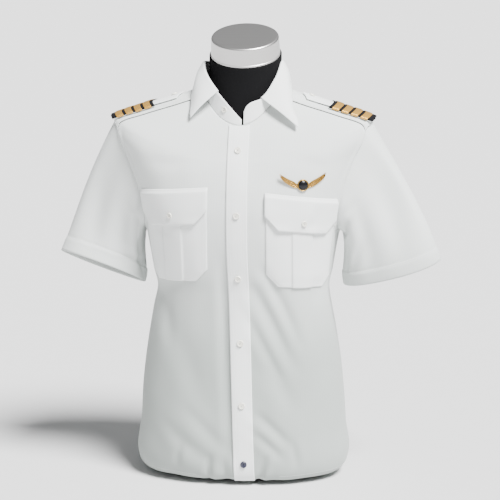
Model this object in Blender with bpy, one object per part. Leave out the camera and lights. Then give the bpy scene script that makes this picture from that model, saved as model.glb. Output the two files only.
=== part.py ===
"""White short-sleeved pilot shirt on a limbless dress form. Metres, +Z up, front towards -Y.

The origin is the centre of the form's flat underside. Left and right are the viewer's, from the front.
Every piece of the shirt is a wall that follows one surface, worked out from the rows of SECTIONS.
"""
from collections import namedtuple
from math import acos, asin, cos, degrees, exp, hypot, pi, radians, sin

import bmesh
import bpy
from mathutils import Matrix, Vector

# Cloth and the clearances between pieces
CLOTH = 0.0014
HALF_SEAM = 0.00015
LYING_GAP = 0.0009
SEAT_GAP = 0.0003

# The shirt's surface: one row for each ring from the tucked hem (level 0) to the neckline (level 1).
# TURN_STEP and LEVEL_STEP are the short runs that its directions are measured over, square is the ring's
# superellipse power, and the ease columns are the room between cloth and form.
TURN_STEP = 0.6
LEVEL_STEP = 0.003
Section = namedtuple(
    "Section", "level side_x side_z front_y front_z back_y back_z square ease_front ease_side ease_back")
SECTIONS = [
    Section(0.00, 0.148, 0.0060, 0.080, 0.0060, 0.078, 0.0060, 2.3, 0.0030, 0.0030, 0.0030),
    Section(0.03, 0.168, 0.0090, 0.100, 0.0085, 0.098, 0.0090, 2.3, 0.0030, 0.0030, 0.0030),
    Section(0.06, 0.181, 0.0230, 0.112, 0.0200, 0.110, 0.0230, 2.3, 0.0030, 0.0030, 0.0030),
    Section(0.09, 0.185, 0.0450, 0.116, 0.0420, 0.115, 0.0450, 2.3, 0.0040, 0.0030, 0.0040),
    Section(0.16, 0.179, 0.0900, 0.117, 0.0880, 0.116, 0.0900, 2.3, 0.0060, 0.0040, 0.0060),
    Section(0.24, 0.1755, 0.1400, 0.114, 0.1380, 0.112, 0.1400, 2.3, 0.0080, 0.0060, 0.0080),
    Section(0.34, 0.169, 0.2000, 0.110, 0.1980, 0.105, 0.2000, 2.3, 0.0090, 0.0070, 0.0090),
    Section(0.42, 0.1625, 0.2450, 0.107, 0.2440, 0.098, 0.2450, 2.3, 0.0090, 0.0070, 0.0090),
    Section(0.49, 0.1545, 0.2900, 0.105, 0.2890, 0.092, 0.2900, 2.3, 0.0080, 0.0060, 0.0080),
    Section(0.55, 0.148, 0.3300, 0.107, 0.3290, 0.090, 0.3300, 2.3, 0.0080, 0.0050, 0.0080),
    Section(0.60, 0.154, 0.3600, 0.112, 0.3600, 0.093, 0.3600, 2.3, 0.0080, 0.0060, 0.0080),
    Section(0.65, 0.1595, 0.3950, 0.118, 0.3950, 0.100, 0.3960, 2.3, 0.0070, 0.0060, 0.0070),
    Section(0.705, 0.1665, 0.4320, 0.123, 0.4310, 0.108, 0.4340, 2.3, 0.0060, 0.0070, 0.0060),
    Section(0.76, 0.1775, 0.4730, 0.125, 0.4680, 0.114, 0.4780, 2.3, 0.0050, 0.0090, 0.0050),
    Section(0.81, 0.191, 0.5200, 0.122, 0.5020, 0.118, 0.5210, 2.3, 0.0040, 0.0120, 0.0040),
    Section(0.85, 0.206, 0.5630, 0.116, 0.5290, 0.117, 0.5590, 2.3, 0.0030, 0.0150, 0.0030),
    Section(0.885, 0.2195, 0.6010, 0.108, 0.5520, 0.109, 0.5930, 2.3, 0.0030, 0.0150, 0.0040),
    Section(0.90, 0.2175, 0.6150, 0.104, 0.5600, 0.104, 0.6050, 2.3, 0.0034, 0.0100, 0.0065),
    Section(0.93, 0.175, 0.6330, 0.096, 0.5760, 0.093, 0.6270, 2.25, 0.0020, 0.0020, 0.0026),
    Section(0.965, 0.120, 0.6510, 0.086, 0.5950, 0.078, 0.6500, 2.15, 0.0011, 0.0011, 0.0011),
    Section(1.00, 0.068, 0.6700, 0.075, 0.6110, 0.064, 0.6670, 2.1, 0.0006, 0.0006, 0.0006),
]

# Largest folds of the body cloth: a soft trough from start to end, seen from the front or the back
Fold = namedtuple("Fold", "face start_x start_z end_x end_z depth width")
FOLDS = [
    Fold("front", 0.045, 0.300, 0.108, 0.205, 0.0036, 0.016),
    Fold("front", 0.050, 0.215, 0.095, 0.130, 0.0028, 0.016),
    Fold("front", -0.105, 0.270, -0.045, 0.110, 0.0030, 0.018),
    Fold("back", -0.085, 0.520, -0.060, 0.330, 0.0030, 0.012),
    Fold("back", 0.085, 0.520, 0.066, 0.330, 0.0030, 0.012),
    Fold("back", -0.110, 0.350, -0.030, 0.300, 0.0024, 0.012),
    Fold("back", 0.030, 0.305, 0.110, 0.345, 0.0024, 0.012),
    Fold("back", 0.060, 0.230, 0.030, 0.080, 0.0024, 0.014),
    Fold("back", -0.055, 0.240, -0.070, 0.090, 0.0024, 0.014),
]

# Rows of the panels, as levels of the surface
BODY_LEVELS = [0.0, 0.03, 0.06, 0.09, 0.13, 0.18, 0.24, 0.30, 0.36, 0.42, 0.46, 0.50, 0.53, 0.555, 0.58, 0.61,
               0.64, 0.675, 0.705]
Spot = namedtuple("Spot", "turn level")
FRONT_ARMHOLE = [
    Spot(79.0, 0.712), Spot(71.5, 0.725), Spot(67.0, 0.745), Spot(64.5, 0.78),
    Spot(64.5, 0.815), Spot(66.5, 0.852), Spot(70.0, 0.888),
]
TIP_ARMHOLE = [Spot(80.0, 0.895), Spot(90.0, 0.898), Spot(100.0, 0.893), Spot(109.0, 0.880)]
BACK_ARMHOLE = [
    Spot(118.0, 0.86), Spot(117.0, 0.82), Spot(115.0, 0.78), Spot(111.0, 0.745),
    Spot(106.0, 0.725), Spot(99.0, 0.712),
]
UNDERARM = Spot(90.0, 0.705)
NECK_SEAM_TURN = 62.0
YOKE_STEPS = 5
FRONT_COLUMNS = 15
BACK_COLUMNS = 20

# The buttoned edge: the fronts meet under the placket, which drifts to the right below the chest
EDGE_OFFSET = 0.008
PLACKET_WIDTH = 0.034
CENTRE_TOP_X = 0.001
DRIFT_START_Z = 0.40
DRIFT_SLOPE = 0.030
PLACKET_TOP_LEVEL = 0.994
PLACKET_LIFT = 0.0006

# Pockets and flaps, measured along the cloth from the middle and up from the floor
POCKET_INNER = 0.049
POCKET_WIDTH = 0.126
FLAP_DEPTH = 0.059
POCKET_CUT = 0.020
POCKET_BELOW_FLAP_TOP = 0.010
POCKET_LENGTH = 0.158
POCKET_STEPS = 6
PLEAT_WIDTH = 0.038
PLEAT_RAISE = 0.0014
PLEAT_EDGE = 0.0005
FLAP_ROOM = 0.0015
FLAP_OVER = LYING_GAP + CLOTH + PLEAT_RAISE + LYING_GAP
FLAP_COLUMNS = 12
FlapRow = namedtuple("FlapRow", "down cut lift")
FLAP_ROWS = [
    FlapRow(0.0000, 0.000, LYING_GAP), FlapRow(0.0075, 0.000, FLAP_OVER + 0.0002),
    FlapRow(0.0180, 0.000, FLAP_OVER), FlapRow(0.0280, 0.000, FLAP_OVER), FlapRow(0.0370, 0.000, FLAP_OVER),
    FlapRow(0.0480, 0.011, FLAP_OVER), FlapRow(0.0590, 0.022, FLAP_OVER + 0.0004),
]
Pocket = namedtuple("Pocket", "name side flap_top dip_top dip_bottom")
POCKETS = [
    Pocket("left", -1, 0.512, 0.010, 0.008),
    Pocket("right", 1, 0.504, 0.015, 0.011),
]

# Sleeve hems: the corner next to the body, the outer corner, and the way the front of the oval points
Cuff = namedtuple("Cuff", "name side inner_x inner_z outer_x outer_z centre_y front_tilt half_depth")
CUFFS = [
    Cuff("left", -1, 0.170, 0.333, 0.314, 0.384, -0.012, 0.35, 0.040),
    Cuff("right", 1, 0.174, 0.336, 0.337, 0.380, -0.012, -0.20, 0.038),
]
SLEEVE_STEPS = [0.05, 0.14, 0.26, 0.40, 0.55, 0.70, 0.85, 1.0]
SLEEVE_STEP = 0.01
SLEEVE_LIFT = 1.0
SLEEVE_HEAD = 0.3
SLEEVE_STAND = 0.35
SLEEVE_REACH = 1.25
HEM_REACH = 0.9
SleeveFold = namedtuple("SleeveFold", "round along_start along_end depth width")
SLEEVE_FOLDS = [
    SleeveFold(45.0, 0.05, 0.60, 0.0040, 16.0),
    SleeveFold(105.0, 0.30, 0.95, 0.0025, 18.0),
    SleeveFold(255.0, 0.25, 0.95, 0.0030, 20.0),
    SleeveFold(318.0, 0.05, 0.65, 0.0040, 16.0),
]

# Collar: the height of the band's top edge, and where the fall's outer edge lies on the surface
BandTop = namedtuple("BandTop", "turn height")
BAND_TOP = [
    BandTop(6.0, 0.6330), BandTop(9.0, 0.6416), BandTop(16.0, 0.6484), BandTop(32.0, 0.6545),
    BandTop(60.0, 0.6840), BandTop(90.0, 0.7110), BandTop(135.0, 0.7060), BandTop(180.0, 0.7000),
    BandTop(225.0, 0.7040), BandTop(270.0, 0.7090), BandTop(300.0, 0.6900), BandTop(328.0, 0.6650),
    BandTop(352.0, 0.6363), BandTop(363.0, 0.6200),
]
BAND_SIDE_X = 0.0670
BAND_FRONT_Y = 0.0725
BAND_BACK_Y = 0.0670
BAND_POWER = 0.93
BAND_FOOT_GAP = 0.0004
BAND_ROWS = 4
FallEdge = namedtuple("FallEdge", "turn edge_turn edge_level lift")
FALL_EDGE = [
    FallEdge(32.0, 37.5, 0.9440, 0.0080), FallEdge(60.0, 58.0, 0.9785, 0.0040),
    FallEdge(90.0, 90.0, 0.9920, 0.0030), FallEdge(135.0, 133.0, 0.9890, 0.0030),
    FallEdge(180.0, 180.0, 0.9870, 0.0030), FallEdge(225.0, 227.0, 0.9890, 0.0030),
    FallEdge(270.0, 270.0, 0.9920, 0.0030), FallEdge(300.0, 302.0, 0.9815, 0.0040),
    FallEdge(328.0, 320.0, 0.9650, 0.0080),
]
FALL_BULGE = 0.0035
FALL_GAP_UP = 0.0005
FALL_GAP_OUT = 0.0006
FALL_SHARES = [0.12, 0.35, 0.6, 0.82, 1.0]
FALL_COLUMNS = 37
BAND_RIGHT_TURNS = [6.0, 7.5, 9.0, 12.0, 16.0, 23.0]
BAND_LEFT_TURNS = [334.0, 340.0, 346.0, 352.0, 357.0, 360.0, 363.0]

# Shoulder straps and boards, measured out from the middle along the shoulder
STRAP_POINT_X = 0.100
STRAP_SHOULDER_X = 0.113
STRAP_OUTER_X = 0.2105
STRAP_HALF_WIDTH = 0.021
STRAP_LIFT = 0.0021
STRAP_STEPS = 7
STRAP_TIP = 0.001
SHOULDER_SLOPE = radians(20.0)
SHOULDER_MIDDLE_Y = -0.004
BOARD_INNER_X = 0.1530
BOARD_OUTER_X = 0.2240
BOARD_FLAT_LIMIT_X = 0.2080
BOARD_HALF_WIDTH = 0.028
BOARD_LOW = 0.0006
BOARD_HIGH = 0.0052
BOARD_WALL = 0.0011
BOARD_ROUND = 0.0022
BOARD_STEPS = 6
BAR_COUNT = 4
BAR_WIDTH = 0.0118
BAR_PITCH = 0.0167
BAR_FIRST = 0.0058
BAR_THICK = 0.0009
BAR_END_INSET = 0.0024
ACROSS = [-1.0, -0.5, 0.0, 0.5, 1.0]

# Buttons: radius and thickness, the heights of those on the placket, and the places of the others
BUTTON_RADIUS = 0.0058
SMALL_BUTTON_RADIUS = 0.0050
BUTTON_THICK = 0.0022
BUTTON_TAPER = 0.93
BUTTON_HEIGHTS = [0.571, 0.467, 0.359, 0.248, 0.142, 0.042]
LAST_BUTTON_LEVEL = 0.088
FLAP_BUTTON_RISE = 0.016
STRAP_BUTTON_INSET = 0.016
BAND_BUTTON_TURN = 340.0
BAND_BUTTON_SHARE = 0.55

# Wings badge on the right chest
BADGE_ACROSS = 0.109
BADGE_HEIGHT = 0.5165
BADGE_PLATE = 0.0014
WingRow = namedtuple("WingRow", "upper_x upper_y lower_x lower_y")
WING_ROWS = [
    WingRow(0.0105, 0.0020, 0.0105, -0.0050), WingRow(0.0150, 0.0060, 0.0165, -0.0030),
    WingRow(0.0230, 0.0100, 0.0240, 0.0010), WingRow(0.0310, 0.0145, 0.0320, 0.0070),
    WingRow(0.0400, 0.0205, 0.0385, 0.0140),
]
WingLine = namedtuple("WingLine", "share thick")
WING_LINES = [WingLine(0.0, BADGE_PLATE), WingLine(0.5, BADGE_PLATE * 1.5), WingLine(1.0, BADGE_PLATE)]
Turned = namedtuple("Turned", "radius height")
RIM_OUTSIDE = [Turned(0.0080, 0.0030), Turned(0.0093, 0.0030), Turned(0.0098, 0.0020), Turned(0.0098, 0.0)]
RIM_INSIDE = [Turned(0.0080, 0.0012), Turned(0.0058, 0.0012), Turned(0.0058, 0.0006), Turned(0.0058, 0.0)]
DOME = [Turned(0.0076, 0.0015), Turned(0.0076, 0.0030), Turned(0.0066, 0.0042), Turned(0.0043, 0.0052),
        Turned(0.0016, 0.0056)]
BADGE_COLUMNS = 24

# Dress form and neck cap
PLINTH_SIDE = 0.135
PLINTH_FRONT = 0.066
PLINTH_HEIGHT = 0.0115
NECK_RADIUS = 0.0612
NECK_ROOT_INSET = 0.0040
NECK_ROOT_DROP = 0.0035
CAP_TILT = radians(20.0)
CAP_CENTRE = Vector((0.004, 0.001, 0.7240))
CAP_PROFILE = [Turned(0.0590, 0.0), Turned(0.0590, 0.0030), Turned(0.0572, 0.0290), Turned(0.0560, 0.0315),
               Turned(0.0525, 0.0330), Turned(0.0280, 0.0338)]
CAP_COLUMNS = 40
FORM_LEVELS = [0.01, 0.035, 0.06, 0.09, 0.13, 0.18, 0.24, 0.30, 0.36, 0.42, 0.48, 0.54, 0.60, 0.66, 0.705,
               0.745, 0.78, 0.815, 0.85, 0.875, 0.892, 0.906, 0.925, 0.945, 0.965]
FORM_COLUMNS = 30
NECK_SHARES = [0.25, 0.6, 1.0]
UP = Vector((0.0, 0.0, 1.0))

WHITE = (0.86, 0.88, 0.87, 1.0)
CREAM = (0.80, 0.79, 0.70, 1.0)
NAVY = (0.01, 0.015, 0.06, 1.0)
BLACK = (0.012, 0.012, 0.014, 1.0)
GOLD = (0.72, 0.50, 0.20, 1.0)
STEEL = (0.50, 0.50, 0.50, 1.0)


def slopes(places, values):
    """Slopes of a cubic through the rows that never swings past a row."""
    spans = [b - a for a, b in zip(places, places[1:])]
    rises = [(b - a) / span for a, b, span in zip(values, values[1:], spans)]
    result = [rises[0]]
    for before, after in zip(rises, rises[1:]):
        result.append(0.0 if before * after <= 0.0 else 2.0 * before * after / (before + after))
    result.append(rises[-1])
    return result


def read_curve(places, values, tangents, place):
    """Value of the cubic at a place, held at its ends."""
    place = min(max(place, places[0]), places[-1])
    index = 0
    while index < len(places) - 2 and place > places[index + 1]:
        index += 1
    span = places[index + 1] - places[index]
    t = (place - places[index]) / span
    start, end = values[index], values[index + 1]
    leave, arrive = tangents[index] * span, tangents[index + 1] * span
    return (start * (2 * t ** 3 - 3 * t ** 2 + 1) + leave * (t ** 3 - 2 * t ** 2 + t)
            + end * (3 * t ** 2 - 2 * t ** 3) + arrive * (t ** 3 - t ** 2))


def table_curves(rows):
    """One smooth curve for each column of a table after its first."""
    places = [row[0] for row in rows]
    curves = []
    for column in range(1, len(rows[0])):
        values = [row[column] for row in rows]
        curves.append((places, values, slopes(places, values)))
    return curves


SECTION_CURVES = table_curves(SECTIONS)
BAND_CURVES = table_curves(BAND_TOP)
FALL_CURVES = table_curves(FALL_EDGE)


def section(level):
    """The smooth section at a level."""
    return Section(level, *(read_curve(*curve, level) for curve in SECTION_CURVES))


def signed_power(value, power):
    """Power of a value that keeps its sign."""
    return abs(value) ** power if value >= 0.0 else -abs(value) ** power


def ring_point(row, turn):
    """Point of a section's ring: turn 0 is the front, 90 the right side, 180 the back."""
    across, ahead = sin(radians(turn)), cos(radians(turn))
    power = 2.0 / row.square
    reach, end_z = (-row.front_y, row.front_z) if ahead >= 0.0 else (row.back_y, row.back_z)
    share = ahead * ahead
    return Vector((row.side_x * signed_power(across, power), reach * abs(ahead) ** power,
                   end_z * share + row.side_z * (1.0 - share)))


def ring_normal(turn, level):
    """Outward direction of the surface."""
    low, high = section(max(level - LEVEL_STEP, 0.0)), section(min(level + LEVEL_STEP, 1.0))
    here = section(level)
    along = ring_point(here, turn + TURN_STEP) - ring_point(here, turn - TURN_STEP)
    upward = ring_point(high, turn) - ring_point(low, turn)
    return along.cross(upward).normalized()


def fold_depth(point):
    """Depth of the folds at a point of the body cloth."""
    face = "front" if point.y < 0.0 else "back"
    depth = 0.0
    for fold in FOLDS:
        if fold.face != face:
            continue
        run_x, run_z = fold.end_x - fold.start_x, fold.end_z - fold.start_z
        length = hypot(run_x, run_z)
        along = ((point.x - fold.start_x) * run_x + (point.z - fold.start_z) * run_z) / length ** 2
        held = min(max(along, 0.0), 1.0)
        distance = hypot(point.x - fold.start_x - held * run_x, point.z - fold.start_z - held * run_z)
        depth += fold.depth * (0.25 + 0.75 * sin(pi * held)) * exp(-(distance / fold.width) ** 2)
    return depth


def cloth(turn, level, lift=0.0):
    """Point of the cloth's outer side and its outward direction, raised by lift."""
    base = ring_point(section(level), turn)
    normal = ring_normal(turn, level)
    return base + normal * (lift - fold_depth(base)), normal


def centre_x(height):
    """Middle of the placket at a height."""
    return CENTRE_TOP_X + DRIFT_SLOPE * max(DRIFT_START_Z - height, 0.0)


def turn_of_x(x, row):
    """Turn at which a section's ring reaches x on the front."""
    ratio = min(abs(x) / row.side_x, 1.0) ** (row.square / 2.0)
    return degrees(asin(ratio)) * (1.0 if x >= 0.0 else -1.0)


def front_level(x, height):
    """Level at which the front surface at x has a height."""
    low, high = 0.09, 1.0
    for _ in range(22):
        middle = (low + high) / 2.0
        row = section(middle)
        if ring_point(row, turn_of_x(x, row)).z < height:
            low = middle
        else:
            high = middle
    return (low + high) / 2.0


def front_cloth(x, height, lift=0.0):
    """Point of the front cloth at x and a height, raised by lift, and its outward direction."""
    level = front_level(x, height)
    return cloth(turn_of_x(x, section(level)), level, lift)


def x_at_arc(arc, height):
    """Distance x at which the front cloth has run an arc from the middle, at a height."""
    step = 0.006
    x, run, point = 0.0, 0.0, front_cloth(0.0, height)[0]
    while True:
        after = front_cloth(x + step, height)[0]
        length = (after - point).length
        if run + length >= arc:
            return x + step * (arc - run) / length
        x, run, point = x + step, run + length, after


PARTS = bpy.data.collections.new("pilot_shirt")


def clear_scene():
    """Remove what the scene holds and link the part's collection."""
    for old in list(bpy.data.objects):
        bpy.data.objects.remove(old, do_unlink=True)
    bpy.context.scene.collection.children.link(PARTS)


def finish_object(name, mesh_builder, colour, roughness=0.8, metallic=0.0):
    """Turn a bmesh into a named object with its own material."""
    bmesh.ops.recalc_face_normals(mesh_builder, faces=mesh_builder.faces)
    mesh = bpy.data.meshes.new(name)
    mesh_builder.to_mesh(mesh)
    mesh_builder.free()
    mesh.shade_smooth()
    mesh.set_sharp_from_angle(angle=radians(40.0))
    material = bpy.data.materials.new(name)
    material.use_nodes = True
    shader = material.node_tree.nodes["Principled BSDF"]
    shader.inputs["Base Color"].default_value = colour
    shader.inputs["Roughness"].default_value = roughness
    shader.inputs["Metallic"].default_value = metallic
    mesh.materials.append(material)
    made = bpy.data.objects.new(name, mesh)
    PARTS.objects.link(made)
    return made


def wall(name, outer, inner, colour, closed=False, roughness=0.8, metallic=0.0):
    """Closed wall lofted between two grids of points; closed joins the last column to the first."""
    builder = bmesh.new()
    top = [[builder.verts.new(point) for point in row] for row in outer]
    low = [[builder.verts.new(point) for point in row] for row in inner]
    rows, columns = len(outer), len(outer[0])
    spans = [(c, (c + 1) % columns) for c in range(columns if closed else columns - 1)]
    for r in range(rows - 1):
        for c, d in spans:
            builder.faces.new((top[r][c], top[r][d], top[r + 1][d], top[r + 1][c]))
            builder.faces.new((low[r][c], low[r + 1][c], low[r + 1][d], low[r][d]))
    for c, d in spans:
        builder.faces.new((low[0][c], low[0][d], top[0][d], top[0][c]))
        builder.faces.new((top[-1][c], top[-1][d], low[-1][d], low[-1][c]))
    if not closed:
        for r in range(rows - 1):
            builder.faces.new((top[r][0], top[r + 1][0], low[r + 1][0], low[r][0]))
            builder.faces.new((low[r][-1], low[r + 1][-1], top[r + 1][-1], top[r][-1]))
    return finish_object(name, builder, colour, roughness, metallic)


def solid_of_rings(name, rings, colour, roughness, metallic):
    """Closed solid lofted through rings, with flat ends."""
    builder = bmesh.new()
    made = [[builder.verts.new(point) for point in ring] for ring in rings]
    count = len(rings[0])
    for low, high in zip(made, made[1:]):
        for c in range(count):
            d = (c + 1) % count
            builder.faces.new((low[c], low[d], high[d], high[c]))
    builder.faces.new(made[0])
    builder.faces.new(made[-1])
    return finish_object(name, builder, colour, roughness, metallic)


Seat = namedtuple("Seat", "point leave rim across")


def cuff_frame(cuff):
    """Centre of a sleeve's hem oval, its long and front half axes, and the way out of it."""
    inner = Vector((cuff.side * cuff.inner_x, cuff.centre_y, cuff.inner_z))
    outer = Vector((cuff.side * cuff.outer_x, cuff.centre_y, cuff.outer_z))
    long_axis = (outer - inner) / 2.0
    front = Vector((0.0, -1.0, cuff.front_tilt)).normalized() * cuff.half_depth
    out = long_axis.cross(front).normalized() * cuff.side
    return (inner + outer) / 2.0, long_axis, front, out


def armhole_seats(cuff):
    """The seam between body and sleeve: points, and the directions that both walls share there."""
    spots = [UNDERARM] + FRONT_ARMHOLE + TIP_ARMHOLE + BACK_ARMHOLE
    made = [cloth(cuff.side * spot.turn, spot.level) for spot in spots]
    points = [point for point, _ in made]
    hole = ring_point(section(0.80), cuff.side * 90.0)
    targets = hem_points(cuff, points)
    low, high = points[0].z, max(point.z for point in points)
    count = len(spots)
    top = len(FRONT_ARMHOLE) + 2
    pairs = []
    for i in range(count):
        tangent = (points[(i + 1) % count] - points[i - 1]).normalized()
        normal = made[i][1]
        off = normal.cross(tangent).normalized()
        if off.dot(hole - points[i]) < 0.0:
            off.negate()
        ahead = (targets[i] - points[i]).normalized()
        raised = (points[i].z - low) / (high - low)
        stand = SLEEVE_HEAD * raised + SLEEVE_STAND * (1.0 - raised)
        leave = (ahead + off * SLEEVE_LIFT * raised + normal * stand).normalized()
        pairs.append((tangent.cross(leave).normalized(), off, leave, normal))
    flip = 1.0 if pairs[top][0].dot(Vector((cuff.side * 0.5, 0.0, 1.0))) > 0.0 else -1.0
    seats = []
    for point, (facing, off, leave, normal) in zip(points, pairs):
        rim = (normal + facing * flip).normalized()
        seats.append(Seat(point, leave, rim, (off + leave).normalized()))
    return seats


def hem_points(cuff, points):
    """Points of the hem oval that the armhole's points run to, shared out by arc length."""
    centre, long_axis, front, _ = cuff_frame(cuff)
    count = len(points)
    top = len(FRONT_ARMHOLE) + 2
    runs = [(points[(i + 1) % count] - points[i]).length for i in range(count)]
    front_total, back_total = sum(runs[:top]), sum(runs[top:])
    result, travelled = [], 0.0
    for i in range(count):
        if i <= top:
            angle = pi * travelled / front_total
        else:
            angle = pi + pi * (travelled - front_total) / back_total
        result.append(centre - long_axis * cos(angle) + front * sin(angle))
        travelled += runs[i]
    return result


def sleeve(cuff):
    """Set-in sleeve: a tube from the armhole to the hem oval."""
    seats = armhole_seats(cuff)
    starts = [seat.point + seat.across * HALF_SEAM for seat in seats]
    ends = hem_points(cuff, [seat.point for seat in seats])
    out = cuff_frame(cuff)[3]
    count = len(seats)

    def ring(t):
        points = []
        for i in range(count):
            length = (ends[i] - starts[i]).length
            leave, arrive = seats[i].leave * length * SLEEVE_REACH, out * length * HEM_REACH
            points.append(starts[i] * (2 * t ** 3 - 3 * t ** 2 + 1) + leave * (t ** 3 - 2 * t ** 2 + t)
                          + ends[i] * (3 * t ** 2 - 2 * t ** 3) + arrive * (t ** 3 - t ** 2))
        return points

    outer, inner = [starts], [[starts[i] - seats[i].rim * CLOTH for i in range(count)]]
    for step in SLEEVE_STEPS:
        here, before, after = ring(step), ring(step - SLEEVE_STEP), ring(min(step + SLEEVE_STEP, 1.0))
        centre = sum(here, Vector()) / count
        outer_row, inner_row = [], []
        for i in range(count):
            around = here[(i + 1) % count] - here[i - 1]
            normal = around.cross(after[i] - before[i]).normalized()
            if normal.dot(here[i] - centre) < 0.0:
                normal.negate()
            depth = sleeve_fold_depth(360.0 * i / count, step)
            outer_row.append(here[i] - normal * depth)
            inner_row.append(here[i] - normal * (depth + CLOTH))
        outer.append(outer_row)
        inner.append(inner_row)
    wall("sleeve_" + cuff.name, outer, inner, WHITE, closed=True)
    return seats


def sleeve_fold_depth(around, along):
    """Depth of the sleeve's folds at an angle round it and a share of its length."""
    depth = 0.0
    for fold in SLEEVE_FOLDS:
        if fold.along_start <= along <= fold.along_end:
            held = sin(pi * (along - fold.along_start) / (fold.along_end - fold.along_start))
            depth += fold.depth * held * exp(-((around - fold.round) / fold.width) ** 2)
    return depth


def panel(name, spots, seats_at, pulls):
    """Cloth panel from a grid of (turn, level).

    seats_at gives the armhole seat for a (row, column), and pulls lists the ways that edge points
    draw back from a seam, as (row, column, neighbour row, neighbour column).
    """
    outer = [[None] * len(row) for row in spots]
    inner = [[None] * len(row) for row in spots]
    for r, row in enumerate(spots):
        for c, (turn, level) in enumerate(row):
            point, normal = cloth(turn, level)
            rim = normal
            if (r, c) in seats_at:
                rim = seats_at[(r, c)].rim
            outer[r][c] = point
            inner[r][c] = point - rim * CLOTH
    shifts = {}
    for r, c, near_r, near_c in pulls:
        toward = (outer[near_r][near_c] - outer[r][c]).normalized() * HALF_SEAM
        shifts[(r, c)] = shifts.get((r, c), Vector()) + toward
    for (r, c), seat in seats_at.items():
        shifts[(r, c)] = shifts.get((r, c), Vector()) - seat.across * HALF_SEAM
    for (r, c), shift in shifts.items():
        outer[r][c] = outer[r][c] + shift
        inner[r][c] = inner[r][c] + shift
    return wall(name, outer, inner, WHITE)


def yoke_levels():
    """Levels of the rows between the shoulder corner and the neckline."""
    corner = FRONT_ARMHOLE[-1].level
    return [corner + (1.0 - corner) * step / YOKE_STEPS for step in range(1, YOKE_STEPS + 1)]


def front(cuff, seats):
    """Front panel from the buttoned edge to the side seam, armhole and yoke seam."""
    side = cuff.side
    levels = list(BODY_LEVELS)
    ends = [UNDERARM.turn] * len(BODY_LEVELS)
    for spot in FRONT_ARMHOLE:
        levels.append(spot.level)
        ends.append(spot.turn)
    corner = len(levels) - 1
    levels += yoke_levels()
    for step in range(1, YOKE_STEPS + 1):
        share = step / YOKE_STEPS
        ends.append(FRONT_ARMHOLE[-1].turn + (NECK_SEAM_TURN - FRONT_ARMHOLE[-1].turn) * share)
    spots = []
    for level, end in zip(levels, ends):
        row = section(level)
        start = turn_of_x(centre_x(row.front_z) + EDGE_OFFSET, row)
        columns = range(FRONT_COLUMNS)
        spots.append([(start + (side * end - start) * c / (FRONT_COLUMNS - 1), level) for c in columns])
    last = FRONT_COLUMNS - 1
    underarm = len(BODY_LEVELS) - 1
    seats_at = {(underarm + i, last): seats[i] for i in range(len(FRONT_ARMHOLE) + 1)}
    pulls = [(r, 0, r, 1) for r in range(len(levels))]
    pulls += [(r, last, r, last - 1) for r in range(underarm + 1)]
    pulls += [(r, last, r, last - 1) for r in range(corner, len(levels))]
    return panel("front_" + cuff.name, spots, seats_at, pulls)


def back(seats_right, seats_left):
    """Back panel, up to the yoke seam."""
    levels = BODY_LEVELS + [spot.level for spot in reversed(BACK_ARMHOLE)]
    edges = [UNDERARM.turn] * len(BODY_LEVELS) + [spot.turn for spot in reversed(BACK_ARMHOLE)]
    spots = []
    for level, edge in zip(levels, edges):
        run = 360.0 - 2.0 * edge
        spots.append([(edge + run * c / (BACK_COLUMNS - 1), level) for c in range(BACK_COLUMNS)])
    last, top, underarm = BACK_COLUMNS - 1, len(levels) - 1, len(BODY_LEVELS) - 1
    seats_at = {}
    for i in range(len(BACK_ARMHOLE) + 1):
        index = (len(seats_right) - i) % len(seats_right)
        seats_at[(underarm + i, 0)] = seats_right[index]
        seats_at[(underarm + i, last)] = seats_left[index]
    pulls = [(r, 0, r, 1) for r in range(underarm + 1)]
    pulls += [(r, last, r, last - 1) for r in range(underarm + 1)]
    pulls += [(top, c, top - 1, c) for c in range(BACK_COLUMNS)]
    return panel("back", spots, seats_at, pulls)


def yoke(seats_right, seats_left):
    """Yoke from the front seams over the shoulders to the seam across the back."""
    outer_spots = [FRONT_ARMHOLE[-1]] + TIP_ARMHOLE
    edge = BACK_ARMHOLE[0]
    run = 360.0 - 2.0 * edge.turn
    outer_spots += [Spot(edge.turn + run * c / (BACK_COLUMNS - 1), edge.level) for c in range(BACK_COLUMNS)]
    outer_spots += [Spot(360.0 - spot.turn, spot.level) for spot in reversed(TIP_ARMHOLE)]
    outer_spots.append(Spot(360.0 - FRONT_ARMHOLE[-1].turn, FRONT_ARMHOLE[-1].level))
    first, final = outer_spots[0].turn, outer_spots[-1].turn
    spots = []
    for step in range(YOKE_STEPS + 1):
        share = step / YOKE_STEPS
        row = []
        for spot in outer_spots:
            place = (spot.turn - first) / (final - first)
            neck_turn = NECK_SEAM_TURN + (360.0 - 2.0 * NECK_SEAM_TURN) * place
            row.append((spot.turn + (neck_turn - spot.turn) * share, spot.level + (1.0 - spot.level) * share))
        spots.append(row)
    last = len(outer_spots) - 1
    shoulder = len(TIP_ARMHOLE) + 1
    start = len(FRONT_ARMHOLE)
    seats_at = {}
    for i in range(shoulder + 1):
        seats_at[(0, i)] = seats_right[start + i]
        seats_at[(0, last - i)] = seats_left[start + i]
    pulls = [(r, 0, r, 1) for r in range(YOKE_STEPS + 1)]
    pulls += [(r, last, r, last - 1) for r in range(YOKE_STEPS + 1)]
    pulls += [(0, c, 1, c) for c in range(shoulder, last - shoulder + 1)]
    return panel("yoke", spots, seats_at, pulls)


def band_point(turn):
    """Point of the collar band's top edge and the level outward direction there."""
    across, ahead = sin(radians(turn)), cos(radians(turn))
    reach = -BAND_FRONT_Y if ahead >= 0.0 else BAND_BACK_Y
    height = read_curve(*BAND_CURVES[0], turn)
    point = Vector((BAND_SIDE_X * signed_power(across, BAND_POWER), reach * abs(ahead) ** BAND_POWER, height))
    return point, Vector((across, -ahead, 0.0)).normalized()


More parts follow.
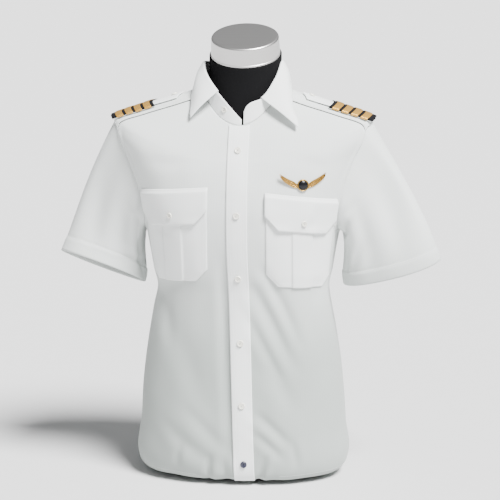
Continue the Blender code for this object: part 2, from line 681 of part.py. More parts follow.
def fall_turns():
    """Turns of the fall's columns, from its right fold end round the back to the left."""
    first, final = FALL_EDGE[0].turn, FALL_EDGE[-1].turn
    return [first + (final - first) * c / (FALL_COLUMNS - 1) for c in range(FALL_COLUMNS)]


def collar_band():
    """Band that stands on the neckline, open at the front."""
    outer = [[] for _ in range(BAND_ROWS)]
    inner = [[] for _ in range(BAND_ROWS)]
    for turn in BAND_RIGHT_TURNS + fall_turns() + BAND_LEFT_TURNS:
        top, facing = band_point(turn)
        foot = ring_point(section(1.0), turn) + UP * BAND_FOOT_GAP
        for r in range(BAND_ROWS):
            point = foot.lerp(top, r / (BAND_ROWS - 1))
            outer[r].append(point)
            inner[r].append(point - facing * CLOTH)
    wall("collar_band", outer, inner, WHITE)


def collar_fall():
    """Turned-down collar: it rolls over the band's top and ends in a point on each side."""
    outer = [[] for _ in range(len(FALL_SHARES) + 2)]
    inner = [[] for _ in range(len(FALL_SHARES) + 2)]
    for turn in fall_turns():
        top, facing = band_point(turn)
        edge_turn, edge_level, lift = (read_curve(*curve, turn) for curve in FALL_CURVES)
        edge, edge_normal = cloth(edge_turn, edge_level, lift)
        start = top + UP * FALL_GAP_UP
        below = start + facing * FALL_GAP_OUT
        outer[0].append(start + (UP - facing) * CLOTH)
        inner[0].append(start - facing * CLOTH)
        outer[1].append(below + (UP + facing).normalized() * CLOTH)
        inner[1].append(below)
        for k, share in enumerate(FALL_SHARES):
            normal = facing.lerp(edge_normal, share).normalized()
            point = below.lerp(edge, share) + normal * FALL_BULGE * 4.0 * share * (1.0 - share)
            inner[k + 2].append(point)
            outer[k + 2].append(point + normal * CLOTH)
    wall("collar_fall", outer, inner, WHITE)


def placket():
    """Stitched band down the front, over both buttoned edges."""
    columns = [-0.5, -0.25, 0.0, 0.25, 0.5]
    levels = BODY_LEVELS[1:] + [spot.level for spot in FRONT_ARMHOLE] + yoke_levels()
    levels[-1] = PLACKET_TOP_LEVEL
    outer, inner = [], []
    for level in levels:
        row = section(level)
        middle = centre_x(row.front_z)
        outer_row, inner_row = [], []
        for share in columns:
            turn = turn_of_x(middle + PLACKET_WIDTH * share, row)
            point, normal = cloth(turn, level, PLACKET_LIFT)
            inner_row.append(point)
            outer_row.append(point + normal * CLOTH)
        outer.append(outer_row)
        inner.append(inner_row)
    wall("placket", outer, inner, WHITE)


def lying_patch(name, side, heights, edges, dips, lifts, raises):
    """Patch on a front: heights are its rows, edges its inner and outer arc for each row.

    dips is how far each row drops towards its outer edge, lifts its clearance row by row, and raises
    a list of (share, raise) for its columns.
    """
    outer, inner = [], []
    for height, (start, end), dip, lift in zip(heights, edges, dips, lifts):
        outer_row, inner_row = [], []
        arcs = [column(start, end) for column, _ in raises]
        for arc, (_, raised) in zip(arcs, raises):
            drop = dip * (arc - POCKET_INNER) / POCKET_WIDTH
            x = side * x_at_arc(arc, height)
            point, normal = front_cloth(x, height - drop, lift)
            inner_row.append(point)
            outer_row.append(point + normal * (CLOTH + raised))
        outer.append(outer_row)
        inner.append(inner_row)
    wall(name, outer, inner, WHITE)


def between(share):
    """Column at a share of the way between a row's edges."""
    return lambda start, end: start + (end - start) * share


def pleat_at(offset):
    """Column at a fixed distance from the pocket's middle line."""
    return lambda start, end: POCKET_INNER + POCKET_WIDTH / 2.0 + offset


def pocket(row):
    """Patch pocket with a box pleat."""
    top = row.flap_top - POCKET_BELOW_FLAP_TOP
    bottom = row.flap_top - POCKET_LENGTH
    cut_start = bottom + POCKET_CUT
    heights = [top - (top - cut_start) * step / POCKET_STEPS for step in range(POCKET_STEPS + 1)]
    heights += [bottom + POCKET_CUT * 0.5, bottom]
    cuts = [max(cut_start - height, 0.0) for height in heights]
    edges = [(POCKET_INNER + cut, POCKET_INNER + POCKET_WIDTH - cut) for cut in cuts]
    last = len(heights) - 1
    dips = [row.dip_top + (row.dip_bottom - row.dip_top) * step / last for step in range(last + 1)]
    half, third = PLEAT_WIDTH / 2.0, PLEAT_WIDTH / 4.0
    middle_start = (POCKET_WIDTH / 2.0 - half) / POCKET_WIDTH
    left = [(between(middle_start * share), 0.0) for share in (0.0, 0.33, 0.66)]
    top_half = half - PLEAT_EDGE
    pleat = [(pleat_at(-half), 0.0)]
    pleat += [(pleat_at(offset), PLEAT_RAISE) for offset in (-top_half, -third, third, top_half)]
    pleat.append((pleat_at(half), 0.0))
    right = [(between(1.0 - middle_start * share), 0.0) for share in (0.66, 0.33, 0.0)]
    lifts = [LYING_GAP] * len(heights)
    lying_patch("pocket_" + row.name, row.side, heights, edges, dips, lifts, left + pleat + right)


def flap(row):
    """Pocket flap with cut-off lower corners."""
    heights = [row.flap_top - line.down for line in FLAP_ROWS]
    low, high = POCKET_INNER - FLAP_ROOM, POCKET_INNER + POCKET_WIDTH + FLAP_ROOM
    edges = [(low + line.cut, high - line.cut) for line in FLAP_ROWS]
    dips = [row.dip_top] * len(FLAP_ROWS)
    lifts = [line.lift for line in FLAP_ROWS]
    columns = [(between(step / FLAP_COLUMNS), 0.0) for step in range(FLAP_COLUMNS + 1)]
    lying_patch("flap_" + row.name, row.side, heights, edges, dips, lifts, columns)


def shoulder_level(x):
    """Level at which the shoulder ridge reaches x."""
    low, high = 0.905, 1.0
    for _ in range(22):
        middle = (low + high) / 2.0
        if section(middle).side_x > x:
            low = middle
        else:
            high = middle
    return (low + high) / 2.0


def shoulder_point(side, x, y, lift):
    """Point over the shoulder at x and y, raised by lift; past the flat limit it runs straight on."""
    held = min(x, BOARD_FLAT_LIMIT_X)
    level = shoulder_level(held)
    row = section(level)
    y = y + SHOULDER_MIDDLE_Y
    reach = row.front_y if y < 0.0 else row.back_y
    tilt = degrees(acos((abs(y) / reach) ** (row.square / 2.0)))
    turn = tilt if y < 0.0 else 180.0 - tilt
    point, normal = cloth(turn, level, lift)
    if x > held:
        before, _ = cloth(turn, shoulder_level(held - 0.02), lift)
        point = point + (point - before).normalized() * (x - held) / cos(SHOULDER_SLOPE)
    return Vector((side * point.x, point.y, point.z)), Vector((side * normal.x, normal.y, normal.z))


def strap(name, side):
    """Shoulder strap from the armhole to its point near the collar."""
    length = STRAP_OUTER_X - STRAP_SHOULDER_X
    places = [STRAP_POINT_X + STRAP_TIP]
    places += [STRAP_SHOULDER_X + length * step / STRAP_STEPS for step in range(STRAP_STEPS + 1)]
    outer, inner = [], []
    for place in places:
        half = STRAP_HALF_WIDTH * min((place - STRAP_POINT_X) / (STRAP_SHOULDER_X - STRAP_POINT_X), 1.0)
        outer_row, inner_row = [], []
        for share in ACROSS:
            point, normal = shoulder_point(side, place, half * share, STRAP_LIFT)
            inner_row.append(point)
            outer_row.append(point + normal * CLOTH)
        outer.append(outer_row)
        inner.append(inner_row)
    wall("strap_" + name, outer, inner, WHITE)


def board_loop(side, x, inset):
    """Flattened loop of a board's section at x, drawn in by inset."""
    half = BOARD_HALF_WIDTH - inset
    low, high = BOARD_LOW + inset, BOARD_HIGH - inset
    middle = (low + high) / 2.0
    flat = half - BOARD_ROUND
    places = [(flat * share, low) for share in ACROSS]
    places.append((half, middle))
    places += [(flat * share, high) for share in reversed(ACROSS)]
    places.append((-half, middle))
    return [shoulder_point(side, x, y, lift)[0] for y, lift in places]


def board(name, side):
    """Soft shoulder board: a flattened tube that slides on the strap."""
    length = BOARD_OUTER_X - BOARD_INNER_X
    places = [BOARD_INNER_X + length * step / BOARD_STEPS for step in range(BOARD_STEPS + 1)]
    outer = [board_loop(side, place, 0.0) for place in places]
    inner = [board_loop(side, place, BOARD_WALL) for place in places]
    wall("board_" + name, outer, inner, BLACK, closed=True, roughness=0.9)


def gold_bar(name, side, index):
    """Gold braid bar across a board."""
    slope = cos(SHOULDER_SLOPE)
    start = BOARD_INNER_X + (BAR_FIRST + index * BAR_PITCH) * slope
    half = BOARD_HALF_WIDTH - BAR_END_INSET
    outer, inner = [], []
    for place in (start, start + BAR_WIDTH * slope * 0.5, start + BAR_WIDTH * slope):
        outer_row, inner_row = [], []
        for share in ACROSS:
            point, normal = shoulder_point(side, place, half * share, BOARD_HIGH + SEAT_GAP)
            inner_row.append(point)
            outer_row.append(point + normal * BAR_THICK)
        outer.append(outer_row)
        inner.append(inner_row)
    wall(name, outer, inner, GOLD, roughness=0.45, metallic=0.7)


def facing_frame(point, normal):
    """Matrix with +Z along a normal, +X level and +Y up the surface."""
    level = UP.cross(normal)
    level = Vector((1.0, 0.0, 0.0)) if level.length < 0.2 else level.normalized()
    up = normal.cross(level).normalized()
    turned = Matrix((level, up, normal)).transposed().to_4x4()
    return Matrix.Translation(point) @ turned


def button(name, point, normal, radius, colour):
    """Round button seated on a surface point."""
    builder = bmesh.new()
    bmesh.ops.create_cone(builder, cap_ends=True, segments=16, radius1=radius, radius2=radius * BUTTON_TAPER,
                          depth=BUTTON_THICK)
    seated = point + normal * (SEAT_GAP + BUTTON_THICK / 2.0)
    bmesh.ops.transform(builder, matrix=facing_frame(seated, normal), verts=builder.verts)
    return finish_object(name, builder, colour, roughness=0.3)


def buttons():
    """Buttons of the placket, band, flaps and straps."""
    on_placket = PLACKET_LIFT + CLOTH
    for index, height in enumerate(BUTTON_HEIGHTS):
        last = index == len(BUTTON_HEIGHTS) - 1
        x = centre_x(height)
        level = LAST_BUTTON_LEVEL if last else front_level(x, height)
        point, normal = cloth(turn_of_x(x, section(level)), level, on_placket)
        button("button_%d" % (index + 1), point, normal, BUTTON_RADIUS, NAVY if last else CREAM)
    for row in POCKETS:
        arc = POCKET_INNER + POCKET_WIDTH / 2.0
        height = row.flap_top - FLAP_DEPTH + FLAP_BUTTON_RISE
        x = row.side * x_at_arc(arc, height)
        point, normal = front_cloth(x, height - row.dip_top / 2.0, FLAP_OVER + CLOTH)
        button("flap_button_" + row.name, point, normal, SMALL_BUTTON_RADIUS, CREAM)
    for name, side in (("left", -1), ("right", 1)):
        point, normal = shoulder_point(side, STRAP_POINT_X + STRAP_BUTTON_INSET, 0.0, STRAP_LIFT + CLOTH)
        button("strap_button_" + name, point, normal, SMALL_BUTTON_RADIUS, CREAM)
    top, facing = band_point(BAND_BUTTON_TURN)
    foot = ring_point(section(1.0), BAND_BUTTON_TURN)
    button("band_button", foot.lerp(top, BAND_BUTTON_SHARE), facing, SMALL_BUTTON_RADIUS, CREAM)


def turned_rings(profile, columns, frame):
    """Rings of points of a turned profile, placed by a matrix."""
    turns = [2.0 * pi * step / columns for step in range(columns)]
    return [[frame @ Vector((row.radius * cos(turn), row.radius * sin(turn), row.height)) for turn in turns]
            for row in profile]


def badge():
    """Wings badge: two feathered wings beside a gold rim with a plain dark centre."""
    point, normal = front_cloth(BADGE_ACROSS, BADGE_HEIGHT, SEAT_GAP)
    frame = facing_frame(point, normal)
    for name, side in (("left", -1), ("right", 1)):
        outer, inner = [], []
        for row in WING_ROWS:
            outer_row, inner_row = [], []
            for share, thick in WING_LINES:
                x = row.upper_x + (row.lower_x - row.upper_x) * share
                y = row.upper_y + (row.lower_y - row.upper_y) * share
                inner_row.append(frame @ Vector((side * x, y, 0.0)))
                outer_row.append(frame @ Vector((side * x, y, thick)))
            outer.append(outer_row)
            inner.append(inner_row)
        wall("badge_wing_" + name, outer, inner, GOLD, roughness=0.25, metallic=1.0)
    outside = turned_rings(RIM_OUTSIDE, BADGE_COLUMNS, frame)
    inside = turned_rings(RIM_INSIDE, BADGE_COLUMNS, frame)
    wall("badge_rim", outside, inside, GOLD, closed=True, roughness=0.25, metallic=1.0)
    solid_of_rings("badge_centre", turned_rings(DOME, BADGE_COLUMNS, frame), BLACK, 0.1, 0.0)


def dress_form():
    """Limbless torso with its neck, inside the cloth, on a flat plinth."""
    turns = [360.0 * step / FORM_COLUMNS for step in range(FORM_COLUMNS)]

    def plinth_ring(height):
        return [Vector((PLINTH_SIDE * sin(radians(turn)), -PLINTH_FRONT * cos(radians(turn)), height))
                for turn in turns]

    def inside(turn, level):
        row = section(level)
        ahead = cos(radians(turn))
        ease_end = row.ease_front if ahead >= 0.0 else row.ease_back
        ease = ease_end * ahead * ahead + row.ease_side * (1.0 - ahead * ahead)
        return ring_point(row, turn) - ring_normal(turn, level) * (CLOTH + ease)

    rings = [plinth_ring(0.0), plinth_ring(PLINTH_HEIGHT)]
    rings += [[inside(turn, level) for turn in turns] for level in FORM_LEVELS]
    base = []
    for turn in turns:
        point = ring_point(section(1.0), turn)
        level_out = Vector((point.x, point.y, 0.0)).normalized()
        base.append(point - level_out * NECK_ROOT_INSET - UP * NECK_ROOT_DROP)
    rings.append(base)
    tilt_back = Vector((0.0, cos(CAP_TILT), sin(CAP_TILT)))
    seat = CAP_CENTRE - Vector((0.0, -sin(CAP_TILT), cos(CAP_TILT))) * SEAT_GAP
    top = [seat + Vector((1.0, 0.0, 0.0)) * NECK_RADIUS * sin(radians(turn))
           - tilt_back * NECK_RADIUS * cos(radians(turn)) for turn in turns]
    for share in NECK_SHARES:
        narrow = 1.0 - (1.0 - share) ** 2
        ring = []
        for low, high in zip(base, top):
            ring.append(Vector((low.x + (high.x - low.x) * narrow, low.y + (high.y - low.y) * narrow,
                                low.z + (high.z - low.z) * share)))
        rings.append(ring)
    solid_of_rings("form", rings, BLACK, 0.95, 0.0)


def neck_cap():
    """Turned metal cap on the neck, tilted forward."""
    turned = Matrix.Translation(CAP_CENTRE) @ Matrix.Rotation(CAP_TILT, 4, "X")
    solid_of_rings("neck_cap", turned_rings(CAP_PROFILE, CAP_COLUMNS, turned), STEEL, 0.35, 1.0)


def build():
    """Build every piece."""
    clear_scene()
    seats = {}
    for cuff in CUFFS:
        seats[cuff.name] = sleeve(cuff)
        front(cuff, seats[cuff.name])
    back(seats["right"], seats["left"])
    yoke(seats["right"], seats["left"])
    collar_band()
    collar_fall()
    placket()
    for row in POCKETS:
        pocket(row)
        flap(row)
    for name, side in (("left", -1), ("right", 1)):
        strap(name, side)
        board(name, side)
        for index in range(BAR_COUNT):
            gold_bar("bar_%s_%d" % (name, index + 1), side, index)
    buttons()
    badge()
    dress_form()
    neck_cap()


build()
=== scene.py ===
"""Looks of the white pilot shirt on its limbless dress form. Metres, +Z up, front towards -Y.

The cloth follows the same surface as the solids, at a finer pitch and with its creases and sewing.
Left and right are the viewer's, from the front.
"""
import math
from collections import namedtuple

import bpy
import numpy as np
from mathutils import Matrix, Vector


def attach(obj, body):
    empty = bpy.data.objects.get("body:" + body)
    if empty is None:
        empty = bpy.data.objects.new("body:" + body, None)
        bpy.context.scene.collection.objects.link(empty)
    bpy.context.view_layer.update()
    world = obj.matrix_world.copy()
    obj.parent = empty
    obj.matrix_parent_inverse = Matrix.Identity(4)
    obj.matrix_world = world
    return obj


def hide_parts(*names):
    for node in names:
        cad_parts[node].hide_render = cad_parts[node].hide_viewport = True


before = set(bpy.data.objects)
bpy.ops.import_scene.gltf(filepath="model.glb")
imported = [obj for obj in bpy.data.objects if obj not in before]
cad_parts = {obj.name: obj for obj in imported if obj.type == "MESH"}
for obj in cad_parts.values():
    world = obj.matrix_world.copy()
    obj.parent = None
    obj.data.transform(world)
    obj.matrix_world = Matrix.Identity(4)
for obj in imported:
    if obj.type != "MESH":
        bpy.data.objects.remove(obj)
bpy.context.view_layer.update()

# Cloth and the clearances between pieces
THIN = 0.0010
HALF_SEAM = 0.00012
LYING_GAP = 0.0009
SEAT_GAP = 0.0003
BODY = "root"

# Steps of turn and level over which the surface's directions are taken
TURN_STEP = 0.6
LEVEL_STEP = 0.003

# Search for a height on the front: the lowest level, and how often what is left is halved
FRONT_FOOT_LEVEL = 0.09
HALVINGS = 20

# The shirt's surface: one row for each ring from the tucked hem (level 0) to the neckline (level 1)
Section = namedtuple(
    "Section", "level side_x side_z front_y front_z back_y back_z square ease_front ease_side ease_back")
SECTIONS = [
    Section(0.00, 0.148, 0.0060, 0.080, 0.0060, 0.078, 0.0060, 2.3, 0.0030, 0.0030, 0.0030),
    Section(0.03, 0.168, 0.0090, 0.100, 0.0085, 0.098, 0.0090, 2.3, 0.0030, 0.0030, 0.0030),
    Section(0.06, 0.181, 0.0230, 0.112, 0.0200, 0.110, 0.0230, 2.3, 0.0030, 0.0030, 0.0030),
    Section(0.09, 0.185, 0.0450, 0.116, 0.0420, 0.115, 0.0450, 2.3, 0.0040, 0.0030, 0.0040),
    Section(0.16, 0.179, 0.0900, 0.117, 0.0880, 0.116, 0.0900, 2.3, 0.0060, 0.0040, 0.0060),
    Section(0.24, 0.1755, 0.1400, 0.114, 0.1380, 0.112, 0.1400, 2.3, 0.0080, 0.0060, 0.0080),
    Section(0.34, 0.169, 0.2000, 0.110, 0.1980, 0.105, 0.2000, 2.3, 0.0090, 0.0070, 0.0090),
    Section(0.42, 0.1625, 0.2450, 0.107, 0.2440, 0.098, 0.2450, 2.3, 0.0090, 0.0070, 0.0090),
    Section(0.49, 0.1545, 0.2900, 0.105, 0.2890, 0.092, 0.2900, 2.3, 0.0080, 0.0060, 0.0080),
    Section(0.55, 0.148, 0.3300, 0.107, 0.3290, 0.090, 0.3300, 2.3, 0.0080, 0.0050, 0.0080),
    Section(0.60, 0.154, 0.3600, 0.112, 0.3600, 0.093, 0.3600, 2.3, 0.0080, 0.0060, 0.0080),
    Section(0.65, 0.1595, 0.3950, 0.118, 0.3950, 0.100, 0.3960, 2.3, 0.0070, 0.0060, 0.0070),
    Section(0.705, 0.1665, 0.4320, 0.123, 0.4310, 0.108, 0.4340, 2.3, 0.0060, 0.0070, 0.0060),
    Section(0.76, 0.1775, 0.4730, 0.125, 0.4680, 0.114, 0.4780, 2.3, 0.0050, 0.0090, 0.0050),
    Section(0.81, 0.191, 0.5200, 0.122, 0.5020, 0.118, 0.5210, 2.3, 0.0040, 0.0120, 0.0040),
    Section(0.85, 0.206, 0.5630, 0.116, 0.5290, 0.117, 0.5590, 2.3, 0.0030, 0.0150, 0.0030),
    Section(0.885, 0.2195, 0.6010, 0.108, 0.5520, 0.109, 0.5930, 2.3, 0.0030, 0.0150, 0.0040),
    Section(0.90, 0.2175, 0.6150, 0.104, 0.5600, 0.104, 0.6050, 2.3, 0.0034, 0.0100, 0.0065),
    Section(0.93, 0.175, 0.6330, 0.096, 0.5760, 0.093, 0.6270, 2.25, 0.0020, 0.0020, 0.0026),
    Section(0.965, 0.120, 0.6510, 0.086, 0.5950, 0.078, 0.6500, 2.15, 0.0011, 0.0011, 0.0011),
    Section(1.00, 0.068, 0.6700, 0.075, 0.6110, 0.064, 0.6670, 2.1, 0.0006, 0.0006, 0.0006),
]

# Creases of the body cloth: a soft trough along a bent line, with a low ridge beside it
Crease = namedtuple("Crease", "face start_x start_z bend_x bend_z end_x end_z depth width ridge")
CREASES = [
    Crease("front", 0.0260, 0.3500, 0.060, 0.280, 0.0980, 0.2000, 0.0062, 0.011, 0.0030),
    Crease("front", 0.0500, 0.2150, 0.076, 0.178, 0.0950, 0.1300, 0.0036, 0.014, 0.0016),
    Crease("front", -0.1050, 0.2700, -0.080, 0.190, -0.0450, 0.1100, 0.0018, 0.018, 0.0006),
    Crease("front", 0.0400, 0.3800, 0.074, 0.320, 0.1080, 0.2350, 0.0046, 0.009, 0.0022),
    Crease("front", 0.0220, 0.2900, 0.044, 0.240, 0.0760, 0.1850, 0.0040, 0.008, 0.0018),
    Crease("front", 0.0300, 0.1300, 0.060, 0.104, 0.0900, 0.0700, 0.0044, 0.008, 0.0020),
    Crease("front", 0.0300, 0.0960, 0.054, 0.074, 0.0780, 0.0480, 0.0036, 0.007, 0.0014),
    Crease("front", -0.0245, 0.3900, -0.0225, 0.240, -0.0120, 0.0560, 0.0052, 0.0075, 0.0008),
    Crease("front", -0.0900, 0.1350, -0.050, 0.092, -0.0120, 0.0580, 0.0026, 0.011, 0.0012),
    Crease("front", -0.1300, 0.1100, -0.085, 0.060, -0.0250, 0.0350, 0.0018, 0.011, 0.0008),
    Crease("front", -0.1340, 0.3300, -0.118, 0.290, -0.1200, 0.2350, 0.0031, 0.011, 0.0013),
    Crease("front", 0.1280, 0.3500, 0.118, 0.300, 0.1240, 0.2500, 0.0031, 0.011, 0.0013),
    Crease("front", -0.0480, 0.0060, -0.050, 0.026, -0.0460, 0.0560, 0.0052, 0.005, 0.0020),
    Crease("front", -0.0160, 0.0060, -0.021, 0.022, -0.0220, 0.0500, 0.0044, 0.005, 0.0018),
    Crease("front", -0.1050, 0.0300, -0.104, 0.046, -0.0960, 0.0700, 0.0024, 0.006, 0.0010),
    Crease("front", 0.0360, 0.0060, 0.040, 0.024, 0.0500, 0.0560, 0.0050, 0.005, 0.0020),
    Crease("front", 0.1000, 0.0320, 0.100, 0.052, 0.0920, 0.0800, 0.0024, 0.006, 0.0010),
    Crease("front", -0.1380, 0.4700, -0.126, 0.440, -0.1130, 0.4220, 0.0020, 0.008, 0.0008),
    Crease("front", 0.1330, 0.4800, 0.124, 0.452, 0.1120, 0.4340, 0.0020, 0.008, 0.0008),
    Crease("front", -0.1450, 0.5550, -0.110, 0.545, -0.0700, 0.5600, 0.0017, 0.010, 0.0006),
    Crease("front", 0.1500, 0.5450, 0.120, 0.552, 0.0800, 0.5700, 0.0017, 0.010, 0.0006),
    Crease("back", -0.0850, 0.5200, -0.078, 0.430, -0.0600, 0.3300, 0.0039, 0.012, 0.0016),
    Crease("back", 0.0850, 0.5200, 0.080, 0.420, 0.0660, 0.3300, 0.0039, 0.012, 0.0016),
    Crease("back", -0.1100, 0.3500, -0.070, 0.318, -0.0300, 0.3000, 0.0033, 0.011, 0.0016),
    Crease("back", 0.0300, 0.3050, 0.070, 0.318, 0.1100, 0.3450, 0.0033, 0.011, 0.0016),
    Crease("back", 0.0600, 0.2300, 0.050, 0.150, 0.0300, 0.0800, 0.0033, 0.014, 0.0013),
    Crease("back", -0.0550, 0.2400, -0.068, 0.165, -0.0700, 0.0900, 0.0033, 0.014, 0.0013),
    Crease("back", -0.1250, 0.3050, -0.085, 0.275, -0.0450, 0.2680, 0.0027, 0.008, 0.0013),
    Crease("back", 0.0250, 0.2700, 0.070, 0.276, 0.1180, 0.3000, 0.0027, 0.008, 0.0013),
    Crease("back", -0.1380, 0.4600, -0.120, 0.430, -0.1020, 0.4180, 0.0027, 0.009, 0.0010),
    Crease("back", 0.1360, 0.4700, 0.120, 0.436, 0.0980, 0.4200, 0.0027, 0.009, 0.0010),
    Crease("back", -0.0200, 0.4700, -0.012, 0.400, -0.0180, 0.3300, 0.0020, 0.014, 0.0006),
    Crease("back", 0.0950, 0.1600, 0.112, 0.110, 0.1100, 0.0500, 0.0027, 0.010, 0.0010),
    Crease("back", -0.1000, 0.1500, -0.116, 0.100, -0.1120, 0.0480, 0.0027, 0.010, 0.0010),
    Crease("back", 0.0050, 0.0350, 0.000, 0.056, 0.0040, 0.0900, 0.0024, 0.007, 0.0010),
]

# Points along a crease, how deep it is at its ends, and where its ridge stands, in widths of its trough
CREASE_POINTS = 9
CREASE_END = 0.15
CREASE_FULLNESS = 0.8
RIDGE_OFFSET = 1.9
RIDGE_WIDTH = 1.3

# Level from which the cloth lies calm towards the neck, and over how much
CALM_FROM = 0.84
CALM_RUN = 0.08

# Slow waves of the cloth between the creases
Wave = namedtuple("Wave", "length_x length_z phase height")
WAVES = [
    Wave(0.150, 0.310, 0.6, 0.00050), Wave(-0.110, 0.190, 2.1, 0.00035), Wave(0.075, 0.130, 4.0, 0.00022),
    Wave(-0.061, 0.083, 1.2, 0.00014), Wave(0.043, -0.240, 5.1, 0.00012),
]

# Armhole, from the underarm up the front, over the shoulder and down the back
Spot = namedtuple("Spot", "turn level")
FRONT_ARMHOLE = [
    Spot(79.0, 0.712), Spot(71.5, 0.725), Spot(67.0, 0.745), Spot(64.5, 0.78),
    Spot(64.5, 0.815), Spot(66.5, 0.852), Spot(70.0, 0.888),
]
TIP_ARMHOLE = [Spot(80.0, 0.895), Spot(90.0, 0.898), Spot(100.0, 0.893), Spot(109.0, 0.880)]
BACK_ARMHOLE = [
    Spot(118.0, 0.86), Spot(117.0, 0.82), Spot(115.0, 0.78), Spot(111.0, 0.745),
    Spot(106.0, 0.725), Spot(99.0, 0.712),
]
UNDERARM = Spot(90.0, 0.705)
NECK_SEAM_TURN = 62.0
HOLE_MIDDLE_LEVEL = 0.80

# Rows and columns of the panels, and the metres that a turn and a level stand for round the armhole
SPOT_STEPS = 7
SPOT_SCALE = np.array([0.0032, 0.75])
BODY_ROWS = 108
YOKE_ROWS = 36
FRONT_COLUMNS = 56
BACK_COLUMNS = 104
BODY_LEVELS = np.linspace(0.0, UNDERARM.level, BODY_ROWS)[:-1]

# Doubled band beside a seam: its width and height, and the sewn groove and the step at its far edge
SEAM_BAND = 0.0085
SEAM_RAISE = 0.0021
SEAM_GROOVE = 0.0016
GROOVE_INSET = 0.0024
GROOVE_WIDTH = 0.0011
STEP_INSET = 0.0010
STEP_WIDTH = 0.0014

# Edges of a grid, each with the row or column next to it
ALL = slice(None)
EDGES = {"first_row": ((0, ALL), (1, ALL)), "last_row": ((-1, ALL), (-2, ALL)),
         "first_column": ((ALL, 0), (ALL, 1)), "last_column": ((ALL, -1), (ALL, -2))}

# The buttoned edge: the fronts meet under the placket, which drifts to the right below the chest
EDGE_OFFSET = 0.008
PLACKET_WIDTH = 0.034
CENTRE_TOP_X = 0.001
DRIFT_START_Z = 0.40
DRIFT_SLOPE = 0.030
PLACKET_TOP_LEVEL = 0.994
PLACKET_BOTTOM_LEVEL = 0.03
PLACKET_LIFT = 0.0008
PLACKET_ROWS = 170
PLACKET_COLUMNS = 15
PLACKET_CROWN = 0.0005
PLACKET_GROOVE = 0.00025

# Pockets and flaps, measured along the cloth from the middle and up from the floor
POCKET_INNER = 0.049
POCKET_WIDTH = 0.126
POCKET_MIDDLE = POCKET_INNER + POCKET_WIDTH / 2.0
POCKET_OUTER = POCKET_INNER + POCKET_WIDTH
POCKET_LIFT = LYING_GAP * 0.5
POCKET_FULLNESS = 0.0007
FLAP_DEPTH = 0.059
FLAP_CUT = 0.022
POCKET_CUT = 0.020
POCKET_BELOW_FLAP_TOP = 0.010
POCKET_LENGTH = 0.158
PLEAT_WIDTH = 0.038
PLEAT_RAISE = 0.0014
PLEAT_FOLD = 0.0007
OVER_POCKET = LYING_GAP + THIN + PLEAT_RAISE + LYING_GAP
FLAP_ROOM = 0.0015
FLAP_CURL = 0.0009
CURL_DEPTH = 0.016
Pocket = namedtuple("Pocket", "name side flap_top dip_top dip_bottom")
POCKETS = [
    Pocket("left", -1, 0.512, 0.010, 0.008),
    Pocket("right", 1, 0.504, 0.015, 0.011),
]

# Sleeve hems: the corner next to the body, the outer corner, and the way the front of the oval points
Cuff = namedtuple("Cuff", "name side inner_x inner_z outer_x outer_z centre_y front_tilt half_depth")
CUFFS = [
    Cuff("left", -1, 0.170, 0.333, 0.314, 0.384, -0.012, 0.35, 0.040),
    Cuff("right", 1, 0.174, 0.336, 0.337, 0.380, -0.012, -0.20, 0.038),
]

# Sleeves: their rows, how the cloth leaves the armhole and meets the hem, and their rough size
SLEEVE_ROWS = 64
ROW_CROWDING = 1.1
SLEEVE_LIFT = 1.0
SLEEVE_HEAD = 0.3
SLEEVE_STAND = 0.35
LEAVE_EASE = 0.030
SLEEVE_REACH = 1.25
HEM_REACH = 0.9
SLEEVE_GIRTH = 0.40
SLEEVE_LENGTH = 0.22

# The doubled hem of a sleeve: its depth, and the step and sewn groove at its upper edge
SLEEVE_HEM = 0.025
HEM_TURNED = 0.0008
HEM_RAISE = 0.0011
HEM_STEP = 0.003
HEM_GROOVE = 0.0017
HEM_GROOVE_INSET = 0.0006
HEM_GROOVE_WIDTH = 0.0014

# Creases of a sleeve: angle round it from the underarm seam by way of the front, and share of its length
SleeveCrease = namedtuple(
    "SleeveCrease", "side round_start along_start round_end along_end depth width ridge")
SLEEVE_CREASES = [
    SleeveCrease(0, 47.0, 0.05, 44.0, 0.60, 0.0056, 0.014, 0.0020),
    SleeveCrease(0, 76.0, 0.10, 70.0, 0.88, 0.0052, 0.014, 0.0022),
    SleeveCrease(0, 30.0, 0.20, 22.0, 0.92, 0.0052, 0.011, 0.0022),
    SleeveCrease(0, 118.0, 0.25, 108.0, 0.90, 0.0032, 0.015, 0.0014),
    SleeveCrease(0, 255.0, 0.25, 262.0, 0.90, 0.0026, 0.019, 0.0006),
    SleeveCrease(0, 318.0, 0.05, 318.0, 0.60, 0.0040, 0.017, 0.0010),
    SleeveCrease(-1, 8.0, 0.55, 62.0, 0.86, 0.0034, 0.009, 0.0014),
    SleeveCrease(1, 10.0, 0.08, 56.0, 0.24, 0.0072, 0.010, 0.0028),
    SleeveCrease(1, 28.0, 0.02, 80.0, 0.18, 0.0020, 0.007, 0.0008),
    SleeveCrease(-1, 24.0, 0.06, 70.0, 0.26, 0.0018, 0.008, 0.0007),
    SleeveCrease(1, 60.0, 0.50, 34.0, 0.88, 0.0034, 0.010, 0.0014),
    SleeveCrease(0, 290.0, 0.12, 335.0, 0.36, 0.0020, 0.009, 0.0008),
    SleeveCrease(0, 232.0, 0.05, 240.0, 0.42, 0.0014, 0.012, 0.0005),
]

# How deep a sleeve's creases are at their ends, and the slow wave round it, which starts below the seam
SLEEVE_CREASE_END = 0.2
SLEEVE_WAVE = 0.0004
SLEEVE_WAVES_ROUND = 5.0
SLEEVE_WAVE_TWIST = 7.0
SLEEVE_CALM = 0.05

